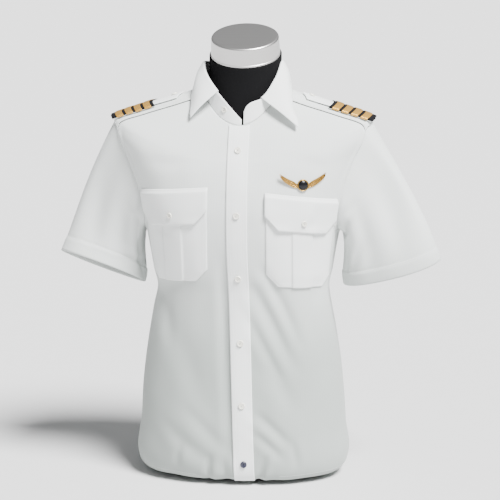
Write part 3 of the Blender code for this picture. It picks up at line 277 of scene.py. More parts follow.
# Collar: the height of the band's top edge, and where the fall's outer edge lies on the surface
BandTop = namedtuple("BandTop", "turn height")
BAND_TOP = [
    BandTop(6.0, 0.6330), BandTop(9.0, 0.6416), BandTop(16.0, 0.6484), BandTop(32.0, 0.6545),
    BandTop(60.0, 0.6840), BandTop(90.0, 0.7110), BandTop(135.0, 0.7060), BandTop(180.0, 0.7000),
    BandTop(225.0, 0.7040), BandTop(270.0, 0.7090), BandTop(300.0, 0.6900), BandTop(328.0, 0.6650),
    BandTop(352.0, 0.6363), BandTop(363.0, 0.6200),
]
BAND_SIDE_X = 0.0670
BAND_FRONT_Y = 0.0725
BAND_BACK_Y = 0.0670
BAND_POWER = 0.93
FallEdge = namedtuple("FallEdge", "turn edge_turn edge_level lift")
FALL_EDGE = [
    FallEdge(32.0, 37.5, 0.9440, 0.0080), FallEdge(60.0, 58.0, 0.9785, 0.0040),
    FallEdge(90.0, 90.0, 0.9920, 0.0030), FallEdge(135.0, 133.0, 0.9890, 0.0030),
    FallEdge(180.0, 180.0, 0.9870, 0.0030), FallEdge(225.0, 227.0, 0.9890, 0.0030),
    FallEdge(270.0, 270.0, 0.9920, 0.0030), FallEdge(300.0, 302.0, 0.9815, 0.0040),
    FallEdge(328.0, 320.0, 0.9650, 0.0080),
]
FALL_BULGE = 0.0035
FALL_COLUMNS = 150
LEAF = 0.0014
ROLL_RADIUS = 0.0012
BAND_CLEAR = 0.0004
BAND_BUTTON_TURN = 340.0

# Shoulder straps and boards, measured out from the middle along the shoulder
STRAP_POINT_X = 0.100
STRAP_SHOULDER_X = 0.113
STRAP_OUTER_X = 0.2105
STRAP_HALF_WIDTH = 0.021
STRAP_LIFT = 0.0021
STRAP_THICK = THIN + 0.0002
STRAP_BUTTON_IN = 0.016
SHOULDER_MIDDLE_Y = -0.004
BOARD_INNER_X = 0.1530
BOARD_OUTER_X = 0.2240
BOARD_FLAT_LIMIT_X = 0.2080
BOARD_HALF_WIDTH = 0.028
BOARD_LOW = 0.0006
BOARD_HIGH = 0.0052
BOARD_WALL = 0.0011
BOARD_SIDE_POWER = 0.22
BOARD_FACE_POWER = 0.55
BAR_COUNT = 4
BAR_WIDTH = 0.0118
BAR_PITCH = 0.0167
BAR_FIRST = 0.0058
BAR_THICK = 0.0009
BAR_BEND = 0.0012
BAR_TURNED_DOWN = 0.0014
BAR_RIBS = 4.0
BAR_RIB = 0.00016
BAR_CROWN = 0.0004
BAR_GRAIN = 0.00005
SHOULDER_SLOPE = math.radians(20.0)

# Buttons: their sizes, their four holes and buttonholes, and the heights of those on the placket
BUTTON_RADIUS = 0.0058
SMALL_BUTTON_RADIUS = 0.0050
BUTTON_THICK = 0.0022
BUTTON_DISH = 0.72
HOLE_REACH = 0.00115
HOLE_RADIUS = 0.00045
HOLE_EDGE = 0.00025
BUTTONHOLE_SIDE = 0.0004
FLAP_BUTTON_RISE = 0.016
BUTTON_HEIGHTS = [0.571, 0.467, 0.359, 0.248, 0.142, 0.042]
LAST_BUTTON_LEVEL = 0.088

# Wings badge on the right chest
BADGE_ACROSS = 0.109
BADGE_HEIGHT = 0.5165
BADGE_RIM_RADIUS = 0.0098
BADGE_CENTRE_RADIUS = 0.0078

# Dress form and neck cap
PLINTH_SIDE = 0.135
PLINTH_FRONT = 0.066
PLINTH_HEIGHT = 0.0115
PLINTH_EDGE = 0.0015
FORM_GAP = 0.0014
NECK_RADIUS = 0.0612
NECK_ROOT_INSET = 0.0040
NECK_ROOT_DROP = 0.0035
CAP_TILT = math.radians(20.0)
CAP_CENTRE = np.array([0.004, 0.001, 0.7240])
CAP_HEIGHT = 0.033
CAP_LOW_RADIUS = 0.0590
CAP_TOP_RADIUS = 0.0560
CAP_ROUND = 0.0036
CAP_FOOT = 0.0042
UP = np.array([0.0, 0.0, 1.0])


def slopes(places, values):
    """Slopes of a cubic through the rows that never swings past a row."""
    rises = np.diff(values, axis=0) / np.diff(places)[:, None]
    before, after = rises[:-1], rises[1:]
    safe = np.where(np.abs(before + after) < 1e-12, 1.0, before + after)
    middle = np.where(before * after <= 0.0, 0.0, 2.0 * before * after / safe)
    return np.vstack([rises[:1], middle, rises[-1:]])


def hermite(start, leave, end, arrive, share):
    """Cubic from a start to an end, by the slopes with which it leaves and arrives."""
    return (start * (2 * share ** 3 - 3 * share ** 2 + 1) + leave * (share ** 3 - 2 * share ** 2 + share)
            + end * (3 * share ** 2 - 2 * share ** 3) + arrive * (share ** 3 - share ** 2))


class Curves:
    """Smooth curves through a table's columns, read at many places at once."""

    def __init__(self, rows):
        table = np.array(rows, float)
        self.places = table[:, 0]
        self.values = table[:, 1:]
        self.tangents = slopes(self.places, self.values)

    def read(self, place):
        """Values at each place, held at the ends."""
        place = np.clip(np.asarray(place, float), self.places[0], self.places[-1])
        index = np.clip(np.searchsorted(self.places, place) - 1, 0, len(self.places) - 2)
        span = (self.places[index + 1] - self.places[index])[..., None]
        share = (place - self.places[index])[..., None] / span
        return hermite(self.values[index], self.tangents[index] * span,
                       self.values[index + 1], self.tangents[index + 1] * span, share)


SECTION_CURVES = Curves(SECTIONS)
BAND_CURVES = Curves(BAND_TOP)
FALL_CURVES = Curves(FALL_EDGE)


def signed_power(value, power):
    """Power of a value that keeps its sign."""
    return np.sign(value) * np.abs(value) ** power


def smooth_step(value):
    """Smooth rise from 0 to 1 as the value goes from 0 to 1."""
    held = np.clip(value, 0.0, 1.0)
    return held * held * (3.0 - 2.0 * held)


def unit(vectors):
    """Vectors at length 1."""
    length = np.linalg.norm(vectors, axis=-1, keepdims=True)
    return vectors / np.maximum(length, 1e-12)


def ring_point(turn, level):
    """Points of the surface: turn 0 is the front, 90 the right side, 180 the back."""
    turn, level = np.broadcast_arrays(np.asarray(turn, float), np.asarray(level, float))
    row = SECTION_CURVES.read(level)
    side_x, side_z, front_y, front_z, back_y, back_z, square = (row[..., i] for i in range(7))
    across, ahead = np.sin(np.radians(turn)), np.cos(np.radians(turn))
    power = 2.0 / square
    front = ahead >= 0.0
    reach = np.where(front, -front_y, back_y)
    end_z = np.where(front, front_z, back_z)
    share = ahead * ahead
    return np.stack([side_x * signed_power(across, power), reach * np.abs(ahead) ** power,
                     end_z * share + side_z * (1.0 - share)], axis=-1)


def ring_normal(turn, level):
    """Outward directions of the surface."""
    turn, level = np.asarray(turn, float), np.asarray(level, float)
    along = ring_point(turn + TURN_STEP, level) - ring_point(turn - TURN_STEP, level)
    high, low = np.minimum(level + LEVEL_STEP, 1.0), np.maximum(level - LEVEL_STEP, 0.0)
    return unit(np.cross(along, ring_point(turn, high) - ring_point(turn, low)))


def beside_run(off_x, off_y, run_x, run_y):
    """Share of a straight run that offsets from its start lie beside, their distance and their side of it."""
    length = math.hypot(run_x, run_y)
    held = np.clip((off_x * run_x + off_y * run_y) / length ** 2, 0.0, 1.0)
    distance = np.hypot(off_x - held * run_x, off_y - held * run_y)
    return held, distance, (off_x * run_y - off_y * run_x) / length


def trough(distance, side, crease):
    """Cross-section of a crease: how far the cloth sinks at a distance from its line."""
    beside = np.exp(-((side - RIDGE_OFFSET * crease.width) / (RIDGE_WIDTH * crease.width)) ** 2)
    beside = beside * np.exp(-((distance - np.abs(side)) / crease.width) ** 2)
    return crease.depth * np.exp(-(distance / crease.width) ** 2) - crease.ridge * beside


def bent_line(start, bend, end):
    """Values along a line that is drawn towards a bend between its start and end."""
    share = np.linspace(0.0, 1.0, CREASE_POINTS)
    return (1 - share) ** 2 * start + 2 * share * (1 - share) * bend + share ** 2 * end


def crease_depth(point):
    """How far the creases and slow waves sink the body cloth at points of the surface."""
    depth = np.zeros(point.shape[:-1])
    front = point[..., 1] < 0.0
    x, z = point[..., 0], point[..., 2]
    for wave in WAVES:
        depth += wave.height * np.sin(2.0 * np.pi * (x / wave.length_x + z / wave.length_z) + wave.phase)
    for crease in CREASES:
        line_x = bent_line(crease.start_x, crease.bend_x, crease.end_x)
        line_z = bent_line(crease.start_z, crease.bend_z, crease.end_z)
        nearest = np.full(x.shape, np.inf)
        side = np.zeros(x.shape)
        place = np.zeros(x.shape)
        for k, (run_x, run_z) in enumerate(zip(np.diff(line_x), np.diff(line_z))):
            held, distance, beside = beside_run(x - line_x[k], z - line_z[k], run_x, run_z)
            closer = distance < nearest
            nearest = np.where(closer, distance, nearest)
            side = np.where(closer, beside, side)
            place = np.where(closer, (k + held) / (CREASE_POINTS - 1), place)
        swell = CREASE_END + (1.0 - CREASE_END) * np.sin(np.pi * place) ** CREASE_FULLNESS
        depth += np.where(front == (crease.face == "front"), swell * trough(nearest, side, crease), 0.0)
    return depth


def calm(level):
    """How freely the cloth creases at a level: little where it is held at the neck and shoulders."""
    return 1.0 - smooth_step((np.asarray(level, float) - CALM_FROM) / CALM_RUN)


def cloth(turn, level, lift=0.0):
    """Points of the cloth's outer side, raised by lift, and their outward directions."""
    base = ring_point(turn, level)
    normal = ring_normal(turn, level)
    sunk = crease_depth(base) * calm(level)
    return base + normal * (np.asarray(lift) - sunk)[..., None], normal


def turn_of_x(x, level):
    """Turn at which the ring at a level reaches x on the front."""
    row = SECTION_CURVES.read(level)
    ratio = np.minimum(np.abs(x) / row[..., 0], 1.0) ** (row[..., 6] / 2.0)
    return np.degrees(np.arcsin(ratio)) * np.where(np.asarray(x) >= 0.0, 1.0, -1.0)


def front_level(x, height):
    """Level at which the front surface at x has a height."""
    x, height = np.broadcast_arrays(np.asarray(x, float), np.asarray(height, float))
    low, high = np.full(x.shape, FRONT_FOOT_LEVEL), np.full(x.shape, 1.0)
    for _ in range(HALVINGS):
        middle = (low + high) / 2.0
        below = ring_point(turn_of_x(x, middle), middle)[..., 2] < height
        low, high = np.where(below, middle, low), np.where(below, high, middle)
    return (low + high) / 2.0


def front_cloth(x, height, lift=0.0):
    """Points of the front cloth at x and a height, raised by lift, and their outward directions."""
    level = front_level(x, height)
    return cloth(turn_of_x(x, level), level, lift)


def centre_x(height):
    """Middle of the placket at a height."""
    return CENTRE_TOP_X + DRIFT_SLOPE * np.maximum(DRIFT_START_Z - height, 0.0)


def distance_to(points, curve):
    """Distance from points to a curve of short straight runs."""
    start, run = curve[:-1], np.diff(curve, axis=0)
    flat = points.reshape(-1, 3)
    nearest = np.full(len(flat), np.inf)
    for a, d in zip(start, run):
        off = flat - a
        held = np.clip(off @ d / (d @ d), 0.0, 1.0)
        nearest = np.minimum(nearest, np.linalg.norm(off - held[:, None] * d, axis=1))
    return nearest.reshape(points.shape[:-1])


def grid_normals(grid, closed=False):
    """Directions square to a grid's surface, by its rows and columns."""
    if closed:
        along = np.roll(grid, -1, axis=1) - np.roll(grid, 1, axis=1)
    else:
        along = np.gradient(grid, axis=1)
    return unit(np.cross(along, np.gradient(grid, axis=0)))


def arcs(points, axis):
    """Distance run along an axis of a grid."""
    steps = np.linalg.norm(np.diff(points, axis=axis), axis=-1)
    zero = np.zeros_like(np.take(steps, [0], axis=axis))
    return np.concatenate([zero, np.cumsum(steps, axis=axis)], axis=axis)


def along_line(line, run, place):
    """Points or directions of a line at distances run along it."""
    return np.stack([np.interp(place, run, line[:, i]) for i in range(3)], axis=-1)


def grid_of(column, count):
    """Grid with the same value all along each row."""
    return np.repeat(column[:, None], count, axis=1)


def cell_corners(first, later):
    """Corners of each cell, from a grid's columns and the columns after them."""
    return np.stack([first[:-1], later[:-1], later[1:], first[1:]], axis=-1).reshape(-1, 4)


def facing_in(points, quads, out):
    """Whether quads mostly face against outward directions."""
    a, b, d = (points[quads[:, i]] for i in (0, 1, 3))
    return np.einsum("ij,ij->", np.cross(b - a, d - a), out) < 0.0


def place_object(name, mesh, material):
    """Object that shows a mesh and rides on the one body."""
    mesh.materials.append(material)
    made = bpy.data.objects.new(name, mesh)
    bpy.context.scene.collection.objects.link(made)
    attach(made, BODY)
    return made


def mesh_of(name, points, faces, places):
    """Smooth mesh of quads, with a place on the flat cloth for each of their corners."""
    mesh = bpy.data.meshes.new(name)
    mesh.from_pydata(points.reshape(-1, 3).tolist(), [], faces.tolist())
    layer = mesh.uv_layers.new(name="cloth")
    layer.data.foreach_set("uv", places.reshape(-1).astype(np.float32))
    mesh.shade_smooth()
    return mesh


def stand_in(name, mesh, material):
    """Object that shows a mesh in place of the node of its name."""
    made = place_object(name, mesh, material)
    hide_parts(name)
    return made


def shell(name, outer, inner, material, closed=False, rim=0.0):
    """Closed sheet between two grids of points, in place of a node.

    Its edge rounds out by rim, a share of its thickness.
    """
    rows, columns = outer.shape[:2]
    count = rows * columns
    index = np.arange(count).reshape(rows, columns)
    across, down = arcs(outer, 1), arcs(outer, 0)
    grids = (index, across, down)
    if closed:
        total = across[:, -1:] + np.linalg.norm(outer[:, :1] - outer[:, -1:], axis=-1)
        later = (np.roll(index, -1, axis=1), np.concatenate([across[:, 1:], total], axis=1),
                 np.roll(down, -1, axis=1))
        quads, *spots = (cell_corners(grid, after) for grid, after in zip(grids, later))
    else:
        quads, *spots = (cell_corners(grid[:, :-1], grid[:, 1:]) for grid in grids)
    spots = np.stack(spots, axis=-1)
    faces, places = [quads, quads[:, ::-1] + count], [spots, spots[:, ::-1]]
    way_up, way_down = unit(outer[0] - outer[1]), unit(outer[-1] - outer[-2])
    if closed:
        loops = [(index[0], way_up), (index[-1][::-1], way_down[::-1])]
    else:
        edge = np.concatenate([index[0], index[1:, -1], index[-1, -2::-1], index[-2:0:-1, 0]])
        out = np.zeros_like(outer)
        out[0] += way_up
        out[-1] += way_down
        out[:, 0] += unit(outer[:, 0] - outer[:, 1])
        out[:, -1] += unit(outer[:, -1] - outer[:, -2])
        loops = [(edge, unit(out.reshape(-1, 3)[edge]))]
    start = 2 * count
    flat_outer, flat_inner = outer.reshape(-1, 3), inner.reshape(-1, 3)
    points = [flat_outer, flat_inner]
    flat_spots = np.stack([across.reshape(-1), down.reshape(-1)], axis=-1)
    for edge, out in loops:
        thick = np.linalg.norm(flat_outer[edge] - flat_inner[edge], axis=-1, keepdims=True)
        points.append((flat_outer[edge] + flat_inner[edge]) / 2.0 + out * thick * rim)
        own = start + np.arange(len(edge))
        later_edge, later_own = np.roll(edge, -1), np.roll(own, -1)
        faces.append(np.stack([later_edge, edge, own, later_own], axis=-1))
        faces.append(np.stack([later_own, own, edge + count, later_edge + count], axis=-1))
        spot = flat_spots[edge]
        later_spot = np.roll(spot, -1, axis=0)
        places += [np.stack([later_spot, spot, spot, later_spot], axis=1)] * 2
        start += len(edge)
    faces, places, points = (np.concatenate(parts) for parts in (faces, places, points))
    if facing_in(points, quads, flat_outer[quads[:, 0]] - flat_inner[quads[:, 0]]):
        faces, places = faces[:, ::-1], places[:, ::-1]
    return stand_in(name, mesh_of(name, points, faces, places), material)


def lofted(name, rings, material):
    """Closed solid lofted through rings of points, with flat ends, in place of a node."""
    count, columns = rings.shape[:2]
    index = np.arange(count * columns).reshape(count, columns)
    quads = cell_corners(index, np.roll(index, -1, axis=1))
    faces = quads.tolist() + [index[0][::-1].tolist(), index[-1].tolist()]
    points = rings.reshape(-1, 3)
    if facing_in(points, quads, points[quads[:, 0]] - points.mean(axis=0)):
        faces = [face[::-1] for face in faces]
    mesh = bpy.data.meshes.new(name)
    mesh.from_pydata(points.tolist(), [], faces)
    mesh.shade_smooth()
    mesh.set_sharp_from_angle(angle=SHARP_ANGLE)
    return stand_in(name, mesh, material)


# Sewing: pitch, length and thickness of a stitch, and its four rings: where each lies along it in lengths,
# how high it stands in radii, and how thick it is
STITCH_PITCH = 0.0026
STITCH_LENGTH = 0.0020
THREAD_RADIUS = 0.00022
STITCH_RINGS = ((-0.5, -0.3, 0.45), (-0.25, 0.7, 1.0), (0.25, 0.7, 1.0), (0.5, -0.3, 0.45))

# Rows of sewing: how far each runs inside the edge that it follows
NEAR_ROW = 0.0018
FAR_ROW = 0.0062
YOKE_ROW_STEP = 0.0032
HEM_ROW = SLEEVE_HEM - 0.001
BAND_TOP_ROW = 0.0045
BAND_FOOT_ROW = 0.0025
LEAF_ROW = 0.0055
PLACKET_SEWING = (0.0012, 0.0058)
POCKET_SEWING = (0.0014, 0.0064)
FLAP_SEWING = (0.0015, 0.0065)
STRAP_ROW = 0.0045
BOARD_ROW = 0.0012
LINE_PITCH = 0.003

# Side seams and the tucked hem: the levels where their rows lie, and the points along each
SIDE_ROW_FOOT = 0.035
SIDE_ROW_POINTS = 120
HEM_ROW_LEVEL = 0.055
HEM_ROW_POINTS = 400

# Angle between faces from which an edge of a turned piece is sharp
SHARP_ANGLE = math.radians(38.0)


def stitches(name, lines, material, pitch=STITCH_PITCH, length=STITCH_LENGTH, radius=THREAD_RADIUS):
    """Row of thread stitches along lines; each line is its points and its outward directions."""
    all_points, all_faces = [], []
    start = 0
    for points, normals in lines:
        run = arcs(points, 0)
        number = int(run[-1] / pitch)
        if number < 1:
            continue
        centres = (np.arange(number) + 0.5) * run[-1] / number
        rings = []
        for along, up, size in STITCH_RINGS:
            place = centres + length * along
            normal = unit(along_line(normals, run, place))
            ahead = along_line(points, run, place + pitch / 2) - along_line(points, run, place - pitch / 2)
            beside = unit(np.cross(unit(ahead), normal)) * radius * size
            above = normal * radius * size
            centre = along_line(points, run, place) + normal * radius * up
            rings.append(np.stack([centre + beside, centre + above, centre - beside, centre - above], axis=1))
        grid = np.stack(rings, axis=1)
        index = np.arange(grid[..., 0].size).reshape(grid.shape[:3]) + start
        later = np.roll(index, -1, axis=2)
        sides = np.stack([index[:, :-1], later[:, :-1], later[:, 1:], index[:, 1:]], axis=-1).reshape(-1, 4)
        caps = np.concatenate([index[:, 0, ::-1], index[:, -1]])
        all_points.append(grid.reshape(-1, 3))
        all_faces.append(np.concatenate([sides, caps]))
        start += index.size
    faces = np.concatenate(all_faces)[:, ::-1]
    mesh = mesh_of(name, np.concatenate(all_points), faces, np.zeros((len(faces), 4, 2)))
    return place_object(name, mesh, material)


# Heights between which painted shade darkens the single layer of cloth towards the hem, and how much
PAINTED_SHADE_TOP = 0.46
PAINTED_SHADE_FOOT = 0.20
PAINTED_SHADE_COLOUR = (0.54, 0.565, 0.550)

# The shirting's self stripe and its threads, and the bands that a wave pattern makes in a metre
STRIPE_PITCH = 0.0046
THREAD_PITCH = 0.0010
BANDS_PER_METRE = 3.1831


def node_material(name):
    """New material, its node tree and its shader."""
    material = bpy.data.materials.new(name)
    material.use_nodes = True
    tree = material.node_tree
    return material, tree, tree.nodes["Principled BSDF"]


def set_inputs(node, values):
    """Set sockets of a node by their names."""
    for name, value in values.items():
        node.inputs[name].default_value = value


def add_node(tree, kind, **settings):
    """Add a node and set its own properties."""
    node = tree.nodes.new(kind)
    for key, value in settings.items():
        setattr(node, key, value)
    return node


def add_bump(tree, shader, height, strength, distance):
    """Bump a shader's surface by a height socket."""
    bump = add_node(tree, "ShaderNodeBump")
    set_inputs(bump, {"Strength": strength, "Distance": distance})
    tree.links.new(height, bump.inputs["Height"])
    tree.links.new(bump.outputs["Normal"], shader.inputs["Normal"])


def cloth_coordinates(tree):
    """Places on the flat cloth, in metres."""
    return add_node(tree, "ShaderNodeUVMap", uv_map="cloth").outputs["UV"]


def object_coordinates(tree):
    """Places in space, in metres."""
    return add_node(tree, "ShaderNodeTexCoord").outputs["Object"]


def wave_across(tree, coordinates, pitch, direction, distortion=0.0):
    """Fine parallel threads at a pitch, across the flat cloth's first or second direction."""
    wave = add_node(tree, "ShaderNodeTexWave", wave_type="BANDS", bands_direction=direction)
    set_inputs(wave, {"Scale": 1.0 / pitch / BANDS_PER_METRE, "Distortion": distortion, "Detail": 0.0})
    tree.links.new(coordinates, wave.inputs["Vector"])
    return wave.outputs["Fac"]


def combine(tree, operation, first, second):
    """Join two number sockets, or a socket and a number, with a sum."""
    node = add_node(tree, "ShaderNodeMath", operation=operation)
    for socket, value in zip(node.inputs, (first, second)):
        if isinstance(value, (int, float)):
            socket.default_value = value
        else:
            tree.links.new(value, socket)
    return node.outputs[0]


def weighted(tree, first, first_share, second, second_share):
    """Sum of two number sockets, each taken by its share."""
    parts = [combine(tree, "MULTIPLY", first, first_share), combine(tree, "MULTIPLY", second, second_share)]
    return combine(tree, "ADD", *parts)


def blend_colours(tree, factor, low, high):
    """Colour between two colours by a number socket."""
    ramp = add_node(tree, "ShaderNodeValToRGB")
    for element, colour in zip(ramp.color_ramp.elements, (low, high)):
        element.color = (*colour, 1.0)
    tree.links.new(factor, ramp.inputs["Fac"])
    return ramp.outputs["Color"]


def noise(tree, coordinates, scale, detail):
    """Soft noise at a scale."""
    node = add_node(tree, "ShaderNodeTexNoise")
    set_inputs(node, {"Scale": scale, "Detail": detail})
    tree.links.new(coordinates, node.inputs["Vector"])
    return node.outputs["Fac"]


def painted_shade_to_hem(tree, colour):
    """Painted shade: darken a colour towards the hem, where the lower body takes less light."""
    place = add_node(tree, "ShaderNodeSeparateXYZ")
    tree.links.new(object_coordinates(tree), place.inputs[0])
    fall = add_node(tree, "ShaderNodeMapRange", interpolation_type="SMOOTHSTEP")
    set_inputs(fall, {"From Min": PAINTED_SHADE_TOP, "From Max": PAINTED_SHADE_FOOT})
    tree.links.new(place.outputs["Z"], fall.inputs["Value"])
    shade = blend_colours(tree, fall.outputs["Result"], (1.0, 1.0, 1.0), PAINTED_SHADE_COLOUR)
    mix = add_node(tree, "ShaderNodeMix", data_type="RGBA", blend_type="MULTIPLY")
    set_inputs(mix, {"Factor": 1.0})
    for socket, value in zip(mix.inputs[6:8], (colour, shade)):
        tree.links.new(value, socket)
    return mix.outputs[2]


def shirt_material(name, low, high, painted_shade):
    """White woven cotton with a faint self stripe, fine threads and a soft bloom."""
    material, tree, shader = node_material(name)
    flat = cloth_coordinates(tree)
    stripe = wave_across(tree, flat, STRIPE_PITCH, "X")
    threads = combine(tree, "ADD", *(wave_across(tree, flat, THREAD_PITCH, way) for way in "XY"))
    slub = noise(tree, flat, 420.0, 3.0)
    patch = noise(tree, flat, 9.0, 2.0)
    colour = blend_colours(tree, weighted(tree, stripe, 0.35, patch, 0.65), low, high)
    # Painted shade, darker towards the hem
    if painted_shade:
        colour = painted_shade_to_hem(tree, colour)
    tree.links.new(colour, shader.inputs["Base Color"])
    add_bump(tree, shader, weighted(tree, threads, 0.5, slub, 1.0), 0.35, 0.00012)
    rough = combine(tree, "ADD", combine(tree, "MULTIPLY", slub, 0.12), 0.74)
    tree.links.new(rough, shader.inputs["Roughness"])
    set_inputs(shader, {"Specular IOR Level": 0.30, "Sheen Weight": 0.18, "Sheen Roughness": 0.5})
    return material


def plain_material(name, low, high, roughness, metallic=0.0, scale=300.0, bump=0.2, distance=0.0001,
                   coat=0.0, specular=0.5):
    """Material with a fine uneven surface between two near colours."""
    material, tree, shader = node_material(name)
    grain = noise(tree, object_coordinates(tree), scale, 3.0)
    tree.links.new(blend_colours(tree, grain, low, high), shader.inputs["Base Color"])
    add_bump(tree, shader, grain, bump, distance)
    set_inputs(shader, {"Roughness": roughness, "Metallic": metallic, "Coat Weight": coat,
                        "Coat Roughness": 0.08, "Specular IOR Level": specular})
    return material


def braid_material():
    """Gold braid: close metallic threads woven over and under."""
    material, tree, shader = node_material("gold_braid_thread")
    flat = cloth_coordinates(tree)
    across = wave_across(tree, flat, 0.00115, "X", 1.5)
    along = wave_across(tree, flat, 0.0016, "Y", 1.0)
    weave = combine(tree, "MULTIPLY", across, along)
    mixed = weighted(tree, weave, 0.6, noise(tree, flat, 900.0, 2.0), 0.5)
    colour = blend_colours(tree, mixed, (0.36, 0.170, 0.020), (0.80, 0.48, 0.10))
    tree.links.new(colour, shader.inputs["Base Color"])
    add_bump(tree, shader, mixed, 0.7, 0.0002)
    set_inputs(shader, {"Roughness": 0.42, "Metallic": 0.55})
    return material


def steel_material():
    """Turned steel with a satin grain round it."""
    material, tree, shader = node_material("satin_steel")
    stretch = add_node(tree, "ShaderNodeMapping")
    set_inputs(stretch, {"Scale": (3.0, 3.0, 900.0)})
    tree.links.new(object_coordinates(tree), stretch.inputs["Vector"])
    grain = noise(tree, stretch.outputs["Vector"], 1.0, 3.0)
    colour = blend_colours(tree, grain, (0.52, 0.51, 0.50), (0.63, 0.62, 0.61))
    tree.links.new(colour, shader.inputs["Base Color"])
    add_bump(tree, shader, grain, 0.10, 0.0001)
    set_inputs(shader, {"Roughness": 0.36, "Metallic": 1.0})
    return material


# One layer of the cloth over the black form looks greyer than the doubled cloth of collar and pockets
# The single layer also takes painted shade, darker towards the hem
SHIRT = shirt_material("white_shirting", (0.630, 0.660, 0.645), (0.690, 0.712, 0.700), True)
DOUBLED = shirt_material("white_shirting_doubled", (0.790, 0.812, 0.804), (0.850, 0.866, 0.858), False)
THREAD = plain_material("white_thread", (0.80, 0.82, 0.81), (0.90, 0.91, 0.90), 0.6, scale=2500.0)
JERSEY = plain_material("black_jersey", (0.002, 0.002, 0.002), (0.005, 0.005, 0.006), 0.95,
                        scale=900.0, bump=0.35, distance=0.0002, specular=0.12)
FELT = plain_material("black_felt", (0.003, 0.003, 0.004), (0.009, 0.009, 0.011), 0.92,
                      scale=1400.0, bump=0.6, distance=0.0003, specular=0.15)
BRAID = braid_material()
CREAM = plain_material("cream_button", (0.74, 0.72, 0.62), (0.88, 0.87, 0.80), 0.22,
                       scale=180.0, bump=0.05, coat=0.6)
NAVY = plain_material("navy_button", (0.002, 0.003, 0.018), (0.004, 0.006, 0.034), 0.45,
                      scale=180.0, bump=0.05, coat=0.6)
GOLD = plain_material("polished_gold", (0.16, 0.07, 0.010), (0.86, 0.54, 0.15), 0.26, metallic=1.0,
                      scale=420.0, bump=0.55, distance=0.0004)
ENAMEL = plain_material("black_enamel", (0.002, 0.002, 0.003), (0.004, 0.004, 0.006), 0.30,
                        scale=60.0, bump=0.01, coat=0.2, specular=0.25)
STEEL = steel_material()


def armhole_loop():
    """Turns and levels of the armhole as a smooth closed curve, with SPOT_STEPS points from spot to spot."""
    spots = np.array([UNDERARM] + FRONT_ARMHOLE + TIP_ARMHOLE + BACK_ARMHOLE, float) * SPOT_SCALE
    later, before = np.roll(spots, -1, axis=0), np.roll(spots, 1, axis=0)
    span = np.linalg.norm(later - spots, axis=1)[:, None]
    last_span = np.roll(span, 1, axis=0)
    leaving, arriving = (later - spots) / span, (spots - before) / last_span
    tangent = (leaving * last_span + arriving * span) / (span + last_span)
    tangent[0, 1] = 0.0
    share = (np.arange(SPOT_STEPS) / SPOT_STEPS)[None, :, None]
    loop = hermite(spots[:, None], (tangent * span)[:, None],
                   later[:, None], (np.roll(tangent, -1, axis=0) * span)[:, None], share)
    return loop.reshape(-1, 2) / SPOT_SCALE


ARMHOLE = armhole_loop()
FRONT_CORNER = len(FRONT_ARMHOLE) * SPOT_STEPS
BACK_CORNER = (len(FRONT_ARMHOLE) + len(TIP_ARMHOLE) + 1) * SPOT_STEPS
SHOULDER_TOP = (len(FRONT_ARMHOLE) + 2) * SPOT_STEPS
YOKE_BACK = slice(BACK_CORNER - FRONT_CORNER, FRONT_CORNER - BACK_CORNER)


def seam_shift(grid, edges):
    """Draw a grid's edges back from their seams; edges names first or last rows and columns."""
    moves = [unit(grid[EDGES[edge][1]] - grid[EDGES[edge][0]]) * HALF_SEAM for edge in edges]
    for edge, move in zip(edges, moves):
        grid[EDGES[edge][0]] += move
    return grid


def seam_band(points, curve):
    """How far the doubled cloth beside a seam stands up, at points near it."""
    past = distance_to(points, curve) - SEAM_BAND
    groove = SEAM_GROOVE * np.exp(-((past + GROOVE_INSET) / GROOVE_WIDTH) ** 2)
    return SEAM_RAISE * (1.0 - smooth_step((past + STEP_INSET) / STEP_WIDTH)) - groove


def panel(name, turns, levels, bands, edges):
    """Cloth panel on a grid of turns and levels, with doubled bands beside the seams given as curves."""
    grid, normals = cloth(turns, levels)
    raised = np.zeros(turns.shape)
    for curve in bands:
        band = seam_band(grid, curve)
        raised = np.where(np.abs(band) > np.abs(raised), band, raised)
    grid = seam_shift(grid + normals * raised[..., None], edges)
    return shell(name, grid, grid - normals * THIN, SHIRT)


def armhole_points(side):
    """The armhole seam in space, closed."""
    points = cloth(side * ARMHOLE[:, 0], ARMHOLE[:, 1])[0]
    return np.vstack([points, points[:1]])


def front_grid(side):
    """Turns and levels of a front panel, from the buttoned edge to the side seam, armhole and yoke seam."""
    hole = ARMHOLE[:FRONT_CORNER + 1]
    share = np.linspace(0.0, 1.0, YOKE_ROWS + 1)[1:]
    top_levels = hole[-1, 1] + (1.0 - hole[-1, 1]) * share
    top_ends = hole[-1, 0] + (NECK_SEAM_TURN - hole[-1, 0]) * share
    levels = np.concatenate([BODY_LEVELS, hole[:, 1], top_levels])
    ends = np.concatenate([np.full(len(BODY_LEVELS), UNDERARM.turn), hole[:, 0], top_ends])
    heights = SECTION_CURVES.read(levels)[:, 3]
    starts = turn_of_x(centre_x(heights) + EDGE_OFFSET, levels)
    columns = np.linspace(0.0, 1.0, FRONT_COLUMNS)
    turns = starts[:, None] + (side * ends - starts)[:, None] * columns[None, :]
    return turns, grid_of(levels, FRONT_COLUMNS)


def back_grid():
    """Turns and levels of the back panel, up to the yoke seam."""
    hole = np.vstack([ARMHOLE[BACK_CORNER:], ARMHOLE[:1]])[::-1]
    levels = np.concatenate([BODY_LEVELS, hole[:, 1]])
    edges = np.concatenate([np.full(len(BODY_LEVELS), UNDERARM.turn), hole[:, 0]])
    columns = np.linspace(0.0, 1.0, BACK_COLUMNS)
    turns = edges[:, None] + (360.0 - 2.0 * edges)[:, None] * columns[None, :]
    return turns, grid_of(levels, BACK_COLUMNS)


